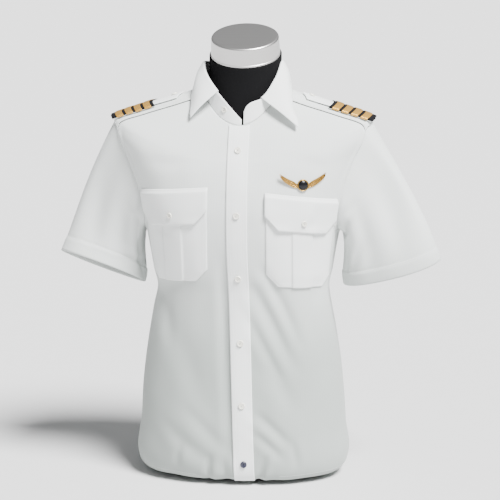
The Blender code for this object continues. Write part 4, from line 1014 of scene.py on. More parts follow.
def yoke_grid():
    """Turns and levels of the yoke, from its armholes and back seam to the neckline."""
    hole = ARMHOLE[FRONT_CORNER:BACK_CORNER + 1]
    back_turns = np.linspace(hole[-1, 0], 360.0 - hole[-1, 0], BACK_COLUMNS)[1:-1]
    turns = np.concatenate([hole[:, 0], back_turns, 360.0 - hole[::-1, 0]])
    levels = np.concatenate([hole[:, 1], np.full(len(back_turns), hole[-1, 1]), hole[::-1, 1]])
    place = (turns - turns[0]) / (turns[-1] - turns[0])
    neck = NECK_SEAM_TURN + (360.0 - 2.0 * NECK_SEAM_TURN) * place
    share = np.linspace(0.0, 1.0, YOKE_ROWS + 1)[:, None]
    return turns + (neck - turns) * share, levels + (1.0 - levels) * share


def make_panels():
    """Fronts, back and yoke, with the doubled bands of their seams."""
    made = {}
    holes = {side: armhole_points(side) for side in (-1, 1)}
    for cuff in CUFFS:
        front_hole = holes[cuff.side][:FRONT_CORNER + 1]
        name = "front_" + cuff.name
        made[name] = panel(name, *front_grid(cuff.side), [front_hole], ["first_column", "last_column"])
    back_holes = [hole[BACK_CORNER:] for hole in holes.values()]
    made["back"] = panel("back", *back_grid(), back_holes, ["first_column", "last_column", "last_row"])
    turns, levels = yoke_grid()
    bands = [cloth(turns[0], levels[0])[0][YOKE_BACK]]
    bands += [cloth(turns[:, column], levels[:, column])[0] for column in (0, -1)]
    bands += [hole[FRONT_CORNER:BACK_CORNER + 1] for hole in holes.values()]
    made["yoke"] = panel("yoke", turns, levels, bands, ["first_column", "last_column", "first_row"])
    return made


def cuff_frame(cuff):
    """Centre of a sleeve's hem oval, its long and front half axes, and the way out of it."""
    inner = np.array([cuff.side * cuff.inner_x, cuff.centre_y, cuff.inner_z])
    outer = np.array([cuff.side * cuff.outer_x, cuff.centre_y, cuff.outer_z])
    long_axis = (outer - inner) / 2.0
    front = unit(np.array([0.0, -1.0, cuff.front_tilt])) * cuff.half_depth
    out = unit(np.cross(long_axis, front)) * cuff.side
    return (inner + outer) / 2.0, long_axis, front, out


def hem_points(cuff, points):
    """Points of the hem oval that the armhole's points run to, and the angle of each round the sleeve."""
    centre, long_axis, front, _ = cuff_frame(cuff)
    runs = np.linalg.norm(np.roll(points, -1, axis=0) - points, axis=1)
    before = np.concatenate([[0.0], np.cumsum(runs)[:-1]])
    front_total, back_total = runs[:SHOULDER_TOP].sum(), runs[SHOULDER_TOP:].sum()
    angle = np.where(before <= front_total, np.pi * before / front_total,
                     np.pi + np.pi * (before - front_total) / back_total)
    places = centre - long_axis * np.cos(angle)[:, None] + front * np.sin(angle)[:, None]
    return places, np.degrees(angle)


def sleeve_sink(side, round_it, along):
    """How far a sleeve's creases sink its cloth."""
    depth = np.zeros(round_it.shape)
    for crease in SLEEVE_CREASES:
        if crease.side not in (0, side):
            continue
        run_a = (crease.round_end - crease.round_start) / 360.0 * SLEEVE_GIRTH
        run_b = (crease.along_end - crease.along_start) * SLEEVE_LENGTH
        off_a = (round_it - crease.round_start) / 360.0 * SLEEVE_GIRTH
        off_b = (along - crease.along_start) * SLEEVE_LENGTH
        held, distance, beside = beside_run(off_a, off_b, run_a, run_b)
        swell = SLEEVE_CREASE_END + (1.0 - SLEEVE_CREASE_END) * np.sin(np.pi * held)
        depth += swell * trough(distance, beside, crease)
    wave = SLEEVE_WAVE * np.sin(np.radians(round_it) * SLEEVE_WAVES_ROUND + along * SLEEVE_WAVE_TWIST) * along
    return (depth + wave) * smooth_step(along / SLEEVE_CALM)


def eased_round(values, points, reach):
    """Values round a closed loop of points, each drawn towards its neighbours within a reach."""
    steps = np.linalg.norm(np.roll(points, -1, axis=0) - points, axis=1)
    run = np.cumsum(steps) - steps
    apart = np.abs(run[:, None] - run[None, :])
    apart = np.minimum(apart, steps.sum() - apart)
    weights = np.exp(-(apart / reach) ** 2) * (steps + np.roll(steps, 1))
    return weights @ values / weights.sum(axis=1, keepdims=True)


def sleeve_grid(cuff):
    """Outer points and directions of a sleeve, each point's way to the hem, and how doubled it is there."""
    starts, normals = cloth(cuff.side * ARMHOLE[:, 0], ARMHOLE[:, 1])
    targets, angles = hem_points(cuff, starts)
    hole = ring_point(cuff.side * 90.0, HOLE_MIDDLE_LEVEL)
    tangent = unit(np.roll(starts, -1, axis=0) - np.roll(starts, 1, axis=0))
    off = unit(np.cross(normals, tangent))
    off *= np.where(np.sum(off * (hole - starts), axis=1, keepdims=True) < 0.0, -1.0, 1.0)
    raised = ((starts[:, 2] - starts[0, 2]) / (starts[:, 2].max() - starts[0, 2]))[:, None]
    stand = SLEEVE_HEAD * raised + SLEEVE_STAND * (1.0 - raised)
    leave = unit(unit(targets - starts) + off * SLEEVE_LIFT * raised + normals * stand)
    seam_way = unit(off + leave)
    leave = unit(eased_round(leave, starts, LEAVE_EASE))
    starts = starts + seam_way * HALF_SEAM
    out = cuff_frame(cuff)[3]
    length = np.linalg.norm(targets - starts, axis=1, keepdims=True)
    share = (np.linspace(0.0, 1.0, SLEEVE_ROWS) ** ROW_CROWDING)[:, None, None]
    grid = hermite(starts, leave * length * SLEEVE_REACH, targets, out * length * HEM_REACH, share)
    facing = grid_normals(grid, closed=True)
    away = grid - grid.mean(axis=1, keepdims=True)
    facing = facing * np.sign(np.sum(np.sum(facing * away, axis=-1)))
    share = grid_of(share[:, 0, 0], len(starts))
    sunk = sleeve_sink(cuff.side, np.broadcast_to(angles, share.shape), share)
    to_hem = np.cumsum(np.linalg.norm(np.diff(grid, axis=0), axis=-1)[::-1], axis=0)[::-1]
    to_hem = np.vstack([to_hem, np.zeros((1, grid.shape[1]))])
    past = to_hem - SLEEVE_HEM
    doubled = smooth_step((HEM_STEP / 2.0 - past) / HEM_STEP)
    groove = HEM_GROOVE * np.exp(-((past + HEM_GROOVE_INSET) / HEM_GROOVE_WIDTH) ** 2)
    grid = grid + facing * (doubled * HEM_RAISE - groove - sunk)[..., None]
    facing = grid_normals(grid, closed=True)
    facing = facing * np.sign(np.sum(facing * away))
    return grid, facing, to_hem, doubled


def make_sleeves():
    """Set-in sleeves with a turned hem, and the sewing of each hem."""
    made = {}
    for cuff in CUFFS:
        name = "sleeve_" + cuff.name
        grid, facing, to_hem, doubled = sleeve_grid(cuff)
        inner = grid - facing * (THIN + doubled * HEM_TURNED)[..., None]
        made[name] = shell(name, grid, inner, SHIRT, closed=True, rim=0.3)
        path, normals = [], []
        for column in list(range(grid.shape[1])) + [0]:
            row = np.interp(-HEM_ROW, -to_hem[:, column], np.arange(len(grid)))
            path.append(between_rows(grid[:, column], row))
            normals.append(between_rows(facing[:, column], row))
        stitches("sleeve_hem_stitches_" + cuff.name, [(np.array(path), np.array(normals))], THREAD)
    return made


def between_rows(column, row):
    """Value between two rows of a column."""
    low = int(min(math.floor(row), len(column) - 2))
    share = row - low
    return column[low] * (1.0 - share) + column[low + 1] * share


def offset_on_cloth(side, spots, distance):
    """Turns and levels of a line beside the armhole, a distance into the body's cloth."""
    turn, level = side * spots[:, 0], spots[:, 1]
    points, normals = ring_point(turn, level), ring_normal(turn, level)
    inward = np.cross(normals, unit(np.gradient(points, axis=0)))
    hole = ring_point(side * 90.0, HOLE_MIDDLE_LEVEL)
    inward *= np.where(np.sum(inward * (hole - points), axis=1, keepdims=True) > 0.0, -1.0, 1.0)
    by_turn = ring_point(turn + 0.5, level) - ring_point(turn - 0.5, level)
    by_level = (ring_point(turn, level + 0.002) - ring_point(turn, level - 0.002)) / 0.004
    a, b, c = (np.sum(first * second, 1) for first, second in
               ((by_turn, by_turn), (by_turn, by_level), (by_level, by_level)))
    p, q = (np.sum(inward * way, 1) * distance for way in (by_turn, by_level))
    det = a * c - b * b
    return turn + (p * c - q * b) / det, level + (a * q - b * p) / det


def sew_body():
    """Stitches beside the armholes, the yoke seams, the side seams and the hem."""
    closed_hole = np.vstack([ARMHOLE, ARMHOLE[:1]])
    lines = []
    for side in (-1, 1):
        for inset, lift in ((NEAR_ROW, SEAM_RAISE), (SEAM_BAND - GROOVE_INSET, SEAM_RAISE - SEAM_GROOVE)):
            for first, final in ((0, FRONT_CORNER), (FRONT_CORNER, BACK_CORNER), (BACK_CORNER, len(ARMHOLE))):
                lines.append(cloth(*offset_on_cloth(side, closed_hole[first:final + 1], inset), lift))
    stitches("armhole_stitches", lines, THREAD)
    turns, levels = yoke_grid()
    lines = []
    for inset in (NEAR_ROW, FAR_ROW):
        near = int(inset / YOKE_ROW_STEP)
        share = inset / YOKE_ROW_STEP - near
        for column in (near, -1 - near):
            lines.append(cloth(turns[:, column], levels[:, column], SEAM_RAISE))
        row = min(near, YOKE_ROWS - 1)
        turn, level = (grid[row, YOKE_BACK] * (1 - share) + grid[row + 1, YOKE_BACK] * share
                       for grid in (turns, levels))
        lines.append(cloth(turn, level, SEAM_RAISE))
    stitches("yoke_stitches", lines, THREAD)
    levels = np.linspace(SIDE_ROW_FOOT, UNDERARM.level - 0.004, SIDE_ROW_POINTS)
    turns = np.full(SIDE_ROW_POINTS, UNDERARM.turn - 0.6)
    stitches("side_seam_stitches", [cloth(side * turns, levels) for side in (-1, 1)], THREAD)
    turns = np.linspace(20.0, 340.0, HEM_ROW_POINTS)
    stitches("hem_stitches", [cloth(turns, np.full(HEM_ROW_POINTS, HEM_ROW_LEVEL))], THREAD)


def band_point(turn):
    """Points of the collar band's top edge and the level outward directions there."""
    turn = np.asarray(turn, float)
    across, ahead = np.sin(np.radians(turn)), np.cos(np.radians(turn))
    reach = np.where(ahead >= 0.0, -BAND_FRONT_Y, BAND_BACK_Y)
    point = np.stack([BAND_SIDE_X * signed_power(across, BAND_POWER), reach * np.abs(ahead) ** BAND_POWER,
                      BAND_CURVES.read(turn)[..., 0]], axis=-1)
    return point, unit(np.stack([across, -ahead, np.zeros_like(across)], axis=-1))


def inset_line(grid, normals, distance, axis, edge):
    """Line at a distance inside an edge of a grid: edge 0 is its first row or column, and -1 its last."""
    if axis == 0:
        grid, normals = grid.swapaxes(0, 1), normals.swapaxes(0, 1)
    path, ways = [], []
    for line, facing in zip(grid, normals):
        run = arcs(line, 0)
        target = distance if edge == 0 else run[-1] - distance
        path.append(along_line(line, run, target))
        ways.append(along_line(facing, run, target))
    return np.array(path), unit(np.array(ways))


def make_collar():
    """Collar band and the fall that rolls over its top, with its edge stitching."""
    fall_turns = np.linspace(32.0, 328.0, FALL_COLUMNS)
    turns = np.concatenate([np.linspace(6.0, 30.0, 20), fall_turns, np.linspace(330.0, 363.0, 26)])
    top, facing = band_point(turns)
    foot = ring_point(turns, 1.0) + UP * BAND_CLEAR
    grid = foot + (top - foot) * np.linspace(0.0, 1.0, 12)[:, None, None]
    out = np.broadcast_to(facing, grid.shape)
    band = shell("collar_band", grid, grid - out * LEAF, DOUBLED, rim=0.3)
    path, ways = inset_line(grid, out, BAND_TOP_ROW, 0, -1)
    stitches("band_stitches", [(path[:22], ways[:22]), (path[-28:], ways[-28:]),
                               inset_line(grid, out, BAND_FOOT_ROW, 0, 0)], THREAD)
    top, facing = band_point(fall_turns)
    edge_turn, edge_level, lift = FALL_CURVES.read(fall_turns).T
    edge, edge_normal = cloth(edge_turn, edge_level, lift)
    centre = top - facing * LEAF / 2.0 + UP * 0.0003
    profile = []
    for angle in np.radians([178.0, 150.0, 120.0, 90.0, 62.0, 34.0, 8.0]):
        profile.append(centre + (facing * math.cos(angle) + UP * math.sin(angle)) * ROLL_RADIUS)
    below = centre + facing * ROLL_RADIUS
    for step in np.linspace(0.0, 1.0, 27)[1:]:
        normal = unit(facing * (1.0 - step) + edge_normal * step)
        profile.append(below + (edge - below) * step + normal * FALL_BULGE * 4.0 * step * (1.0 - step))
    inner = np.array(profile)
    for _ in range(3):
        inner[1:-1] = inner[1:-1] * 0.5 + (inner[:-2] + inner[2:]) * 0.25
    out = grid_normals(inner)
    out = out * np.sign(np.sum(out[-5] * facing))
    grid = inner + out * LEAF
    fall = shell("collar_fall", grid, inner, DOUBLED, rim=0.35)
    path, ways = inset_line(grid, out, LEAF_ROW, 0, -1)
    lines = [(path[3:-3], ways[3:-3])]
    for end in (0, -1):
        path, ways = inset_line(grid, out, LEAF_ROW, 1, end)
        lines.append((path[8:-3], ways[8:-3]))
    stitches("collar_stitches", lines, THREAD)
    return {"collar_band": band, "collar_fall": fall}


def placket_grid():
    """Turns and levels of the placket."""
    levels = np.linspace(PLACKET_BOTTOM_LEVEL, PLACKET_TOP_LEVEL, PLACKET_ROWS)
    heights = SECTION_CURVES.read(levels)[:, 3]
    across = np.linspace(-0.5, 0.5, PLACKET_COLUMNS)
    levels = grid_of(levels, PLACKET_COLUMNS)
    return turn_of_x(centre_x(heights)[:, None] + PLACKET_WIDTH * across[None, :], levels), levels


def make_placket():
    """Stitched band down the front, over both buttoned edges."""
    inner, normals = cloth(*placket_grid(), PLACKET_LIFT)
    across = np.abs(np.linspace(-1.0, 1.0, PLACKET_COLUMNS))
    crown = PLACKET_CROWN * (1.0 - across ** 2) - PLACKET_GROOVE * np.exp(-((across - 0.66) / 0.12) ** 2)
    grid = inner + normals * (THIN + 0.0004 + crown)[None, :, None]
    piece = shell("placket", grid, inner, DOUBLED, rim=0.35)
    lines = [inset_line(grid, normals, inset, 1, end) for end in (0, -1) for inset in PLACKET_SEWING]
    stitches("placket_stitches", lines, THREAD)
    return {"placket": piece}


ARC_HEIGHTS = np.linspace(0.32, 0.53, 54)
ARC_ACROSS = np.linspace(0.0, 0.185, 90)


def arc_table(side):
    """Distance run along the front from the middle to each place across, at each height."""
    points = []
    for height in ARC_HEIGHTS:
        level = front_level(side * ARC_ACROSS, height)
        points.append(ring_point(turn_of_x(side * ARC_ACROSS, level), level))
    return arcs(np.array(points), 1)


def as_grids(*values):
    """Numbers and grids of numbers, all brought to one shape."""
    return np.broadcast_arrays(*(np.asarray(value, float) for value in values))


def dip_at(row, height):
    """How far the outer side of a pocket hangs below its inner side, at a height."""
    fallen = np.clip((row.flap_top - POCKET_BELOW_FLAP_TOP - height) / POCKET_LENGTH, 0.0, 1.0)
    return row.dip_top + (row.dip_bottom - row.dip_top) * fallen


ARC_TABLES = {side: arc_table(side) for side in (-1, 1)}


def patch_place(row, arc, height, lift):
    """Points on a front at distances along the cloth and heights, and their outward directions."""
    arc, height, lift = as_grids(arc, height, lift)
    table = ARC_TABLES[row.side]
    pitch = ARC_HEIGHTS[1] - ARC_HEIGHTS[0]
    place = np.clip((height - ARC_HEIGHTS[0]) / pitch, 0.0, len(ARC_HEIGHTS) - 1.001)
    low = place.astype(int)
    share = place - low
    across = np.zeros(arc.shape)
    for k in np.unique(low):
        here = low == k
        first = np.interp(arc[here], table[k], ARC_ACROSS)
        later = np.interp(arc[here], table[k + 1], ARC_ACROSS)
        across[here] = first * (1.0 - share[here]) + later * share[here]
    dropped = dip_at(row, height) * (arc - POCKET_INNER) / POCKET_WIDTH
    return front_cloth(row.side * across, height - dropped, lift)


def flap_place(row, arc, height, lift):
    """Points of a flap, whose edges keep one slope."""
    share = (arc - POCKET_INNER) / POCKET_WIDTH
    return patch_place(row, arc, height + (dip_at(row, height) - row.dip_top) * share, lift)


def chamfered(low, high, top, bottom, cut, inset):
    """Line inside the sides and bottom of a patch with two cut-off lower corners: distances and heights."""
    slant = inset * math.tan(math.radians(22.5))
    corner = cut + slant
    corners = [(low + inset, top), (low + inset, bottom + corner), (low + corner, bottom + inset),
               (high - corner, bottom + inset), (high - inset, bottom + corner), (high - inset, top)]
    path = []
    for (a, b), (c, d) in zip(corners, corners[1:]):
        count = max(int(math.hypot(c - a, d - b) / LINE_PITCH), 2)
        share = np.arange(count) / count
        path.append(np.stack([a + (c - a) * share, b + (d - b) * share], axis=-1))
    return np.vstack(path + [[corners[-1]]]).T


def pleat_raise(arc):
    """How far the box pleat stands above the pocket's cloth."""
    off = np.abs(arc - POCKET_MIDDLE)
    return PLEAT_RAISE * (1.0 - smooth_step((off - PLEAT_WIDTH / 2.0 + PLEAT_FOLD) / PLEAT_FOLD))


def pocket_stand(arc, height, bottom):
    """Thickness of a pocket: its cloth, its pleat and a slight fullness inside its edges."""
    inside = np.minimum(np.minimum(arc - POCKET_INNER, POCKET_OUTER - arc), height - bottom)
    return THIN + pleat_raise(arc) + POCKET_FULLNESS * smooth_step((inside - 0.004) / 0.02)


def flap_lift(row, height, share):
    """How far a flap stands off the front: flat at its seam, then over the pocket, with a curling edge."""
    fallen = (row.flap_top - height) / POCKET_BELOW_FLAP_TOP
    at_seam = LYING_GAP * 0.6
    lift = at_seam + (OVER_POCKET - at_seam) * smooth_step(fallen / 0.8)
    near_edge = smooth_step((row.flap_top - FLAP_DEPTH + CURL_DEPTH - height) / CURL_DEPTH)
    return lift + FLAP_CURL * near_edge * (1.0 + 0.6 * np.cos(share * 9.0))


def make_pocket(row):
    """Patch pocket with a box pleat, sewn down round its sides and bottom."""
    top = row.flap_top - POCKET_BELOW_FLAP_TOP
    bottom = row.flap_top - POCKET_LENGTH
    corner = bottom + POCKET_CUT
    heights = np.concatenate([np.linspace(top, corner, 40), np.linspace(corner, bottom, 8)[1:]])
    cuts = np.clip(corner - heights, 0.0, None)
    half = PLEAT_WIDTH / 2.0
    outside = np.linspace(0.0, 1.0, 13)
    pleat = np.concatenate([[-half, -half + 0.0005], np.linspace(-half + 0.0015, half - 0.0015, 12),
                            [half - 0.0005, half]])
    arc = np.array([np.concatenate([
        POCKET_INNER + cut + (POCKET_MIDDLE - half - POCKET_INNER - cut) * outside[:-1],
        POCKET_MIDDLE + pleat,
        POCKET_MIDDLE + half + (POCKET_OUTER - cut - POCKET_MIDDLE - half) * outside[1:]]) for cut in cuts])
    level = grid_of(heights, arc.shape[1])
    inner, normals = patch_place(row, arc, level, POCKET_LIFT)
    grid = inner + normals * pocket_stand(arc, level, bottom)[..., None]
    piece = shell("pocket_" + row.name, grid, inner, DOUBLED, rim=0.2)
    lines = []
    for inset in POCKET_SEWING:
        arc, height = chamfered(POCKET_INNER, POCKET_OUTER, top, bottom, POCKET_CUT, inset)
        points, ways = patch_place(row, arc, height, 0.0)
        rise = POCKET_LIFT + pocket_stand(arc, height, bottom)
        lines.append((points + ways * rise[:, None], ways))
    stitches("pocket_stitches_" + row.name, lines, THREAD)
    return piece


def make_flap(row):
    """Pocket flap with cut-off lower corners, sewn across its top and round its edge."""
    top, bottom = row.flap_top, row.flap_top - FLAP_DEPTH
    bend, corner = top - 0.012, bottom + FLAP_CUT
    heights = np.concatenate([np.linspace(top, bend, 9), np.linspace(bend, corner, 12)[1:],
                              np.linspace(corner, bottom, 9)[1:]])
    cuts = np.clip(corner - heights, 0.0, None)
    low, high = POCKET_INNER - FLAP_ROOM, POCKET_OUTER + FLAP_ROOM
    share = np.linspace(0.0, 1.0, 38)
    arc = (low + cuts)[:, None] + (high - low - 2.0 * cuts)[:, None] * share[None, :]
    level = grid_of(heights, len(share))
    inner, normals = flap_place(row, arc, level, flap_lift(row, level, share))
    piece = shell("flap_" + row.name, inner + normals * LEAF, inner, DOUBLED, rim=0.35)
    paths = [chamfered(low, high, top - 0.006, bottom, FLAP_CUT, LEAF_ROW)]
    for down in FLAP_SEWING:
        paths.append((np.linspace(low + 0.001, high - 0.001, 60), np.full(60, top - down)))
    lines = []
    for arc, height in paths:
        lift = flap_lift(row, height, (arc - low) / (high - low))
        lines.append(flap_place(row, arc, height, lift + LEAF))
    stitches("flap_stitches_" + row.name, lines, THREAD)
    return piece


def shoulder_level(x):
    """Level at which the shoulder ridge reaches x."""
    levels = np.linspace(0.905, 1.0, 240)
    return np.interp(-np.asarray(x, float), -SECTION_CURVES.read(levels)[:, 0], levels)


def shoulder_place(side, x, y, lift):
    """Points over the shoulder at x and y, raised by lift; past the flat limit they run straight on."""
    x, y, lift = as_grids(x, y, lift)

    def at(place):
        level = shoulder_level(place)
        row = SECTION_CURVES.read(level)
        off = y + SHOULDER_MIDDLE_Y
        reach = np.where(off < 0.0, row[..., 2], row[..., 4])
        tilt = np.degrees(np.arccos((np.abs(off) / reach) ** (row[..., 6] / 2.0)))
        return cloth(np.where(off < 0.0, tilt, 180.0 - tilt), level, lift)

    held = np.minimum(x, BOARD_FLAT_LIMIT_X)
    point, normal = at(held)
    before = at(held - 0.02)[0]
    point = point + unit(point - before) * ((x - held) / math.cos(SHOULDER_SLOPE))[..., None]
    mirror = np.array([side, 1.0, 1.0])
    return point * mirror, normal * mirror


def strap_half(x):
    """Half the width of a strap at a place along the shoulder: its pointed end, then its full width."""
    return STRAP_HALF_WIDTH * np.minimum((x - STRAP_POINT_X) / (STRAP_SHOULDER_X - STRAP_POINT_X), 1.0)


def make_strap(name, side):
    """Shoulder strap from the armhole to its point near the collar."""
    places = np.concatenate([np.linspace(STRAP_POINT_X + 0.0008, STRAP_SHOULDER_X, 8),
                             np.linspace(STRAP_SHOULDER_X, STRAP_OUTER_X, 32)[1:]])
    across = np.linspace(-1.0, 1.0, 15)
    inner, normals = shoulder_place(side, grid_of(places, len(across)),
                                    strap_half(places)[:, None] * across[None, :], STRAP_LIFT)
    grid = inner + normals * STRAP_THICK
    piece = shell("strap_" + name, grid, inner, DOUBLED, rim=0.35)
    path_x = np.concatenate([places[::-1][:-6], [STRAP_POINT_X + 0.0055], places[6:]])
    way = np.concatenate([np.full(len(places) - 6, 1.0), [0.0], np.full(len(places) - 6, -1.0)])
    path_y = strap_half(path_x) * way * (1.0 - STRAP_ROW / STRAP_HALF_WIDTH)
    stitches("strap_stitches_" + name,
             [shoulder_place(side, path_x, path_y, STRAP_LIFT + STRAP_THICK)], THREAD)
    return piece


def board_rows(side, inset, places):
    """Rings of a board's section, drawn in by inset."""
    half, middle = BOARD_HALF_WIDTH - inset, (BOARD_LOW + BOARD_HIGH) / 2.0
    tall = (BOARD_HIGH - BOARD_LOW) / 2.0 - inset
    angle = np.linspace(0.0, 2.0 * np.pi, 64, endpoint=False)
    across = half * signed_power(np.cos(angle), BOARD_SIDE_POWER)
    lift = middle + tall * signed_power(np.sin(angle), BOARD_FACE_POWER)
    return shoulder_place(side, places[:, None], across[None, :], lift[None, :])[0]


def make_board(name, side):
    """Soft felt board on the strap: a flattened tube, open at its ends."""
    places = np.linspace(BOARD_INNER_X, BOARD_OUTER_X, 34)
    grid, inner = board_rows(side, 0.0, places), board_rows(side, BOARD_WALL, places)
    piece = shell("board_" + name, grid, inner, FELT, closed=True, rim=0.3)
    piece.data.materials.append(DOUBLED)
    per_row = grid.shape[1]
    for face in piece.data.polygons:
        corner = min(index % per_row for index in face.vertices)
        if corner >= per_row // 2 and face.index < len(places) * per_row:
            face.material_index = 1
    lines = []
    for edge in (-1.0, 1.0):
        lines.append(shoulder_place(side, places, edge * (BOARD_HALF_WIDTH - BOARD_ROW), BOARD_HIGH - 0.0004))
    stitches("board_stitches_" + name, lines, FELT)


def make_bar(name, side, index):
    """Gold braid bar across a board, with ribs along it and its ends turned down."""
    slope = math.cos(SHOULDER_SLOPE)
    start = BOARD_INNER_X + (BAR_FIRST + index * BAR_PITCH) * slope
    along = np.linspace(0.0, 1.0, 29)[:, None]
    corner_y, corner_lift = BOARD_HALF_WIDTH - BAR_BEND, BOARD_HIGH - BAR_BEND
    bend = np.radians(np.linspace(90.0, 0.0, 9))
    flat = np.linspace(0.0, corner_y, 30)[:-1]
    drop = np.linspace(0.0, BAR_TURNED_DOWN, 4)[1:]
    centre_y = np.concatenate([flat, np.full(len(bend) + len(drop), corner_y)])
    centre_lift = np.concatenate([np.full(len(flat) + len(bend), corner_lift), corner_lift - drop])
    way_y = np.concatenate([np.zeros(len(flat)), np.cos(bend), np.ones(len(drop))])
    way_lift = np.concatenate([np.ones(len(flat)), np.sin(bend), np.zeros(len(drop))])
    centre_y, way_y = (np.concatenate([-line[:0:-1], line])[None, :] for line in (centre_y, way_y))
    centre_lift, way_lift = (np.concatenate([line[:0:-1], line])[None, :] for line in (centre_lift, way_lift))
    place = np.linspace(-1.0, 1.0, centre_y.shape[1])[None, :]
    edge_fall = np.sqrt(np.clip(1.0 - (2 * along - 1) ** 4, 0, 1))
    rib = BAR_RIB * np.abs(np.sin(np.pi * along * BAR_RIBS)) + BAR_CROWN * edge_fall
    thick = BAR_THICK * 0.45 + rib + BAR_GRAIN * np.sin(place * 52.0 + along * 9.0)
    x = start + BAR_WIDTH * slope * along + 0.0 * place
    near = BAR_BEND + SEAT_GAP * 0.5
    inner, outer = (shoulder_place(side, x, centre_y + way_y * reach, centre_lift + way_lift * reach)[0]
                    for reach in (near, near + thick))
    shell(name, outer, inner, BRAID, rim=0.2)


def facing_frame(point, normal):
    """Level, up and outward directions on a surface point, as the columns of a matrix, and the point."""
    level = np.cross(UP, normal)
    level = np.array([1.0, 0.0, 0.0]) if np.linalg.norm(level) < 0.2 else unit(level)
    return np.stack([level, np.cross(normal, level), normal], axis=1), point


def button_height(radius, distance, angle, holes):
    """Height of a button's face over its back: a round rim, a dished middle and its holes."""
    share = distance / radius
    face = BUTTON_THICK * (BUTTON_DISH + (1.0 - BUTTON_DISH) * np.exp(-((share - 0.80) / 0.13) ** 2))
    edge = np.sqrt(np.clip(1.0 - ((share - 0.86) / 0.14) ** 2 * 0.92, 0.0, 1.0))
    face = np.where(share > 0.86, face * edge, face)
    for hole_x, hole_y in holes:
        off = np.hypot(distance * np.cos(angle) - hole_x, distance * np.sin(angle) - hole_y)
        face = face - BUTTON_THICK * 0.62 * (1.0 - smooth_step((off - HOLE_RADIUS) / HOLE_EDGE))
    return face


def make_button(name, point, normal, radius, material, turned=0.0):
    """Four-hole button sewn on with a cross of thread."""
    axes, seat = facing_frame(point, normal)
    turns = math.radians(45.0) + turned + np.arange(4) * np.pi / 2.0
    holes = [(HOLE_REACH * math.cos(a), HOLE_REACH * math.sin(a)) for a in turns]
    distance = np.concatenate([np.linspace(0.00008, 0.0022, 16), np.linspace(0.0022, radius, 18)[1:]])
    angle = np.linspace(0.0, 2.0 * np.pi, 72, endpoint=False)
    far, around = np.meshgrid(distance, angle, indexing="ij")
    x, y = np.cos(around), np.sin(around)
    face = button_height(radius, far, around, holes) + SEAT_GAP
    flat = np.stack([far * x, far * y, face], axis=-1)
    back = np.stack([far * 0.985 * x, far * 0.985 * y, np.full(far.shape, SEAT_GAP)], axis=-1)
    shell(name, flat @ axes.T + seat, back @ axes.T + seat, material, closed=True)
    share = np.linspace(0.0, 1.0, 9)
    lines = []
    for (a, b), rise in zip(zip(holes[:2], holes[2:]), (0.0001, 0.0004)):
        x, y = a[0] + (b[0] - a[0]) * share, a[1] + (b[1] - a[1]) * share
        z = SEAT_GAP + BUTTON_THICK * BUTTON_DISH + rise * np.sin(np.pi * share)
        line = np.stack([x, y, z], axis=-1) @ axes.T + seat
        lines.append((line, np.repeat(normal[None, :], len(share), axis=0)))
    thread = NAVY if material is NAVY else THREAD
    stitches(name + "_thread", lines, thread, pitch=0.0021, length=0.0022, radius=0.0003)


def make_buttons():
    """Buttons of the placket, band, flaps and straps, with the buttonholes that show round them."""
    sides = (-BUTTONHOLE_SIDE, BUTTONHOLE_SIDE)
    long_hole, short_hole = (np.linspace(-half, half, 12) for half in (0.0135, 0.0085))
    on_placket = PLACKET_LIFT + THIN + 0.0009
    holes = []
    for index, height in enumerate(BUTTON_HEIGHTS):
        last = index == len(BUTTON_HEIGHTS) - 1
        x = centre_x(height)
        level = LAST_BUTTON_LEVEL if last else float(front_level(x, height))
        point, normal = cloth(float(turn_of_x(x, level)), level, on_placket)
        make_button("button_%d" % (index + 1), point, normal, BUTTON_RADIUS, NAVY if last else CREAM,
                    index * 0.7)
        near = level + long_hole
        holes += [cloth(turn_of_x(x + off, near), near, on_placket) for off in sides]
    for row in POCKETS:
        height = row.flap_top - FLAP_DEPTH + FLAP_BUTTON_RISE
        over = OVER_POCKET + LEAF
        point, normal = flap_place(row, POCKET_MIDDLE, height, over)
        make_button("flap_button_" + row.name, point, normal, SMALL_BUTTON_RADIUS, CREAM, 0.3)
        holes += [flap_place(row, POCKET_MIDDLE + off, height + short_hole, over) for off in sides]
    for name, side in (("left", -1), ("right", 1)):
        place = STRAP_POINT_X + STRAP_BUTTON_IN
        over = STRAP_LIFT + STRAP_THICK
        point, normal = shoulder_place(side, place, 0.0, over)
        make_button("strap_button_" + name, point, normal, SMALL_BUTTON_RADIUS, CREAM, 0.9)
        holes += [shoulder_place(side, place + short_hole, off, over) for off in sides]
    top, facing = band_point(BAND_BUTTON_TURN)
    foot = ring_point(BAND_BUTTON_TURN, 1.0) + UP * BAND_CLEAR
    make_button("band_button", foot + (top - foot) * 0.55, facing, SMALL_BUTTON_RADIUS, CREAM, 0.2)
    stitches("buttonhole_stitches", holes, THREAD, pitch=0.0006, length=0.0009, radius=0.00026)


# Outline of a wing: how far out from the badge's centre, and its upper and lower edges
WingEdge = namedtuple("WingEdge", "place upper_x upper_y lower_x lower_y")
WING_EDGES = [
    WingEdge(0.00, 0.0095, 0.0020, 0.0095, -0.0052), WingEdge(0.25, 0.0150, 0.0062, 0.0165, -0.0032),
    WingEdge(0.50, 0.0230, 0.0102, 0.0240, 0.0010), WingEdge(0.75, 0.0310, 0.0146, 0.0320, 0.0068),
    WingEdge(1.00, 0.0400, 0.0205, 0.0388, 0.0138),
]

# Feathers of a wing, and heights of the wings, the rim and the domed centre
FEATHERS = 5
FEATHER_NOTCH = 0.16
FEATHER_HEIGHT = 0.0009
BARB_HEIGHT = 0.0003
WING_THICK = 0.0006
ENAMEL_GAP = 0.0002
RIM_SHOULDER = 0.0022
RIM_FLOOR = 0.0012
DOME_FOOT = 0.0015
DOME_EDGE = 0.0026
DOME_RISE = 0.0028


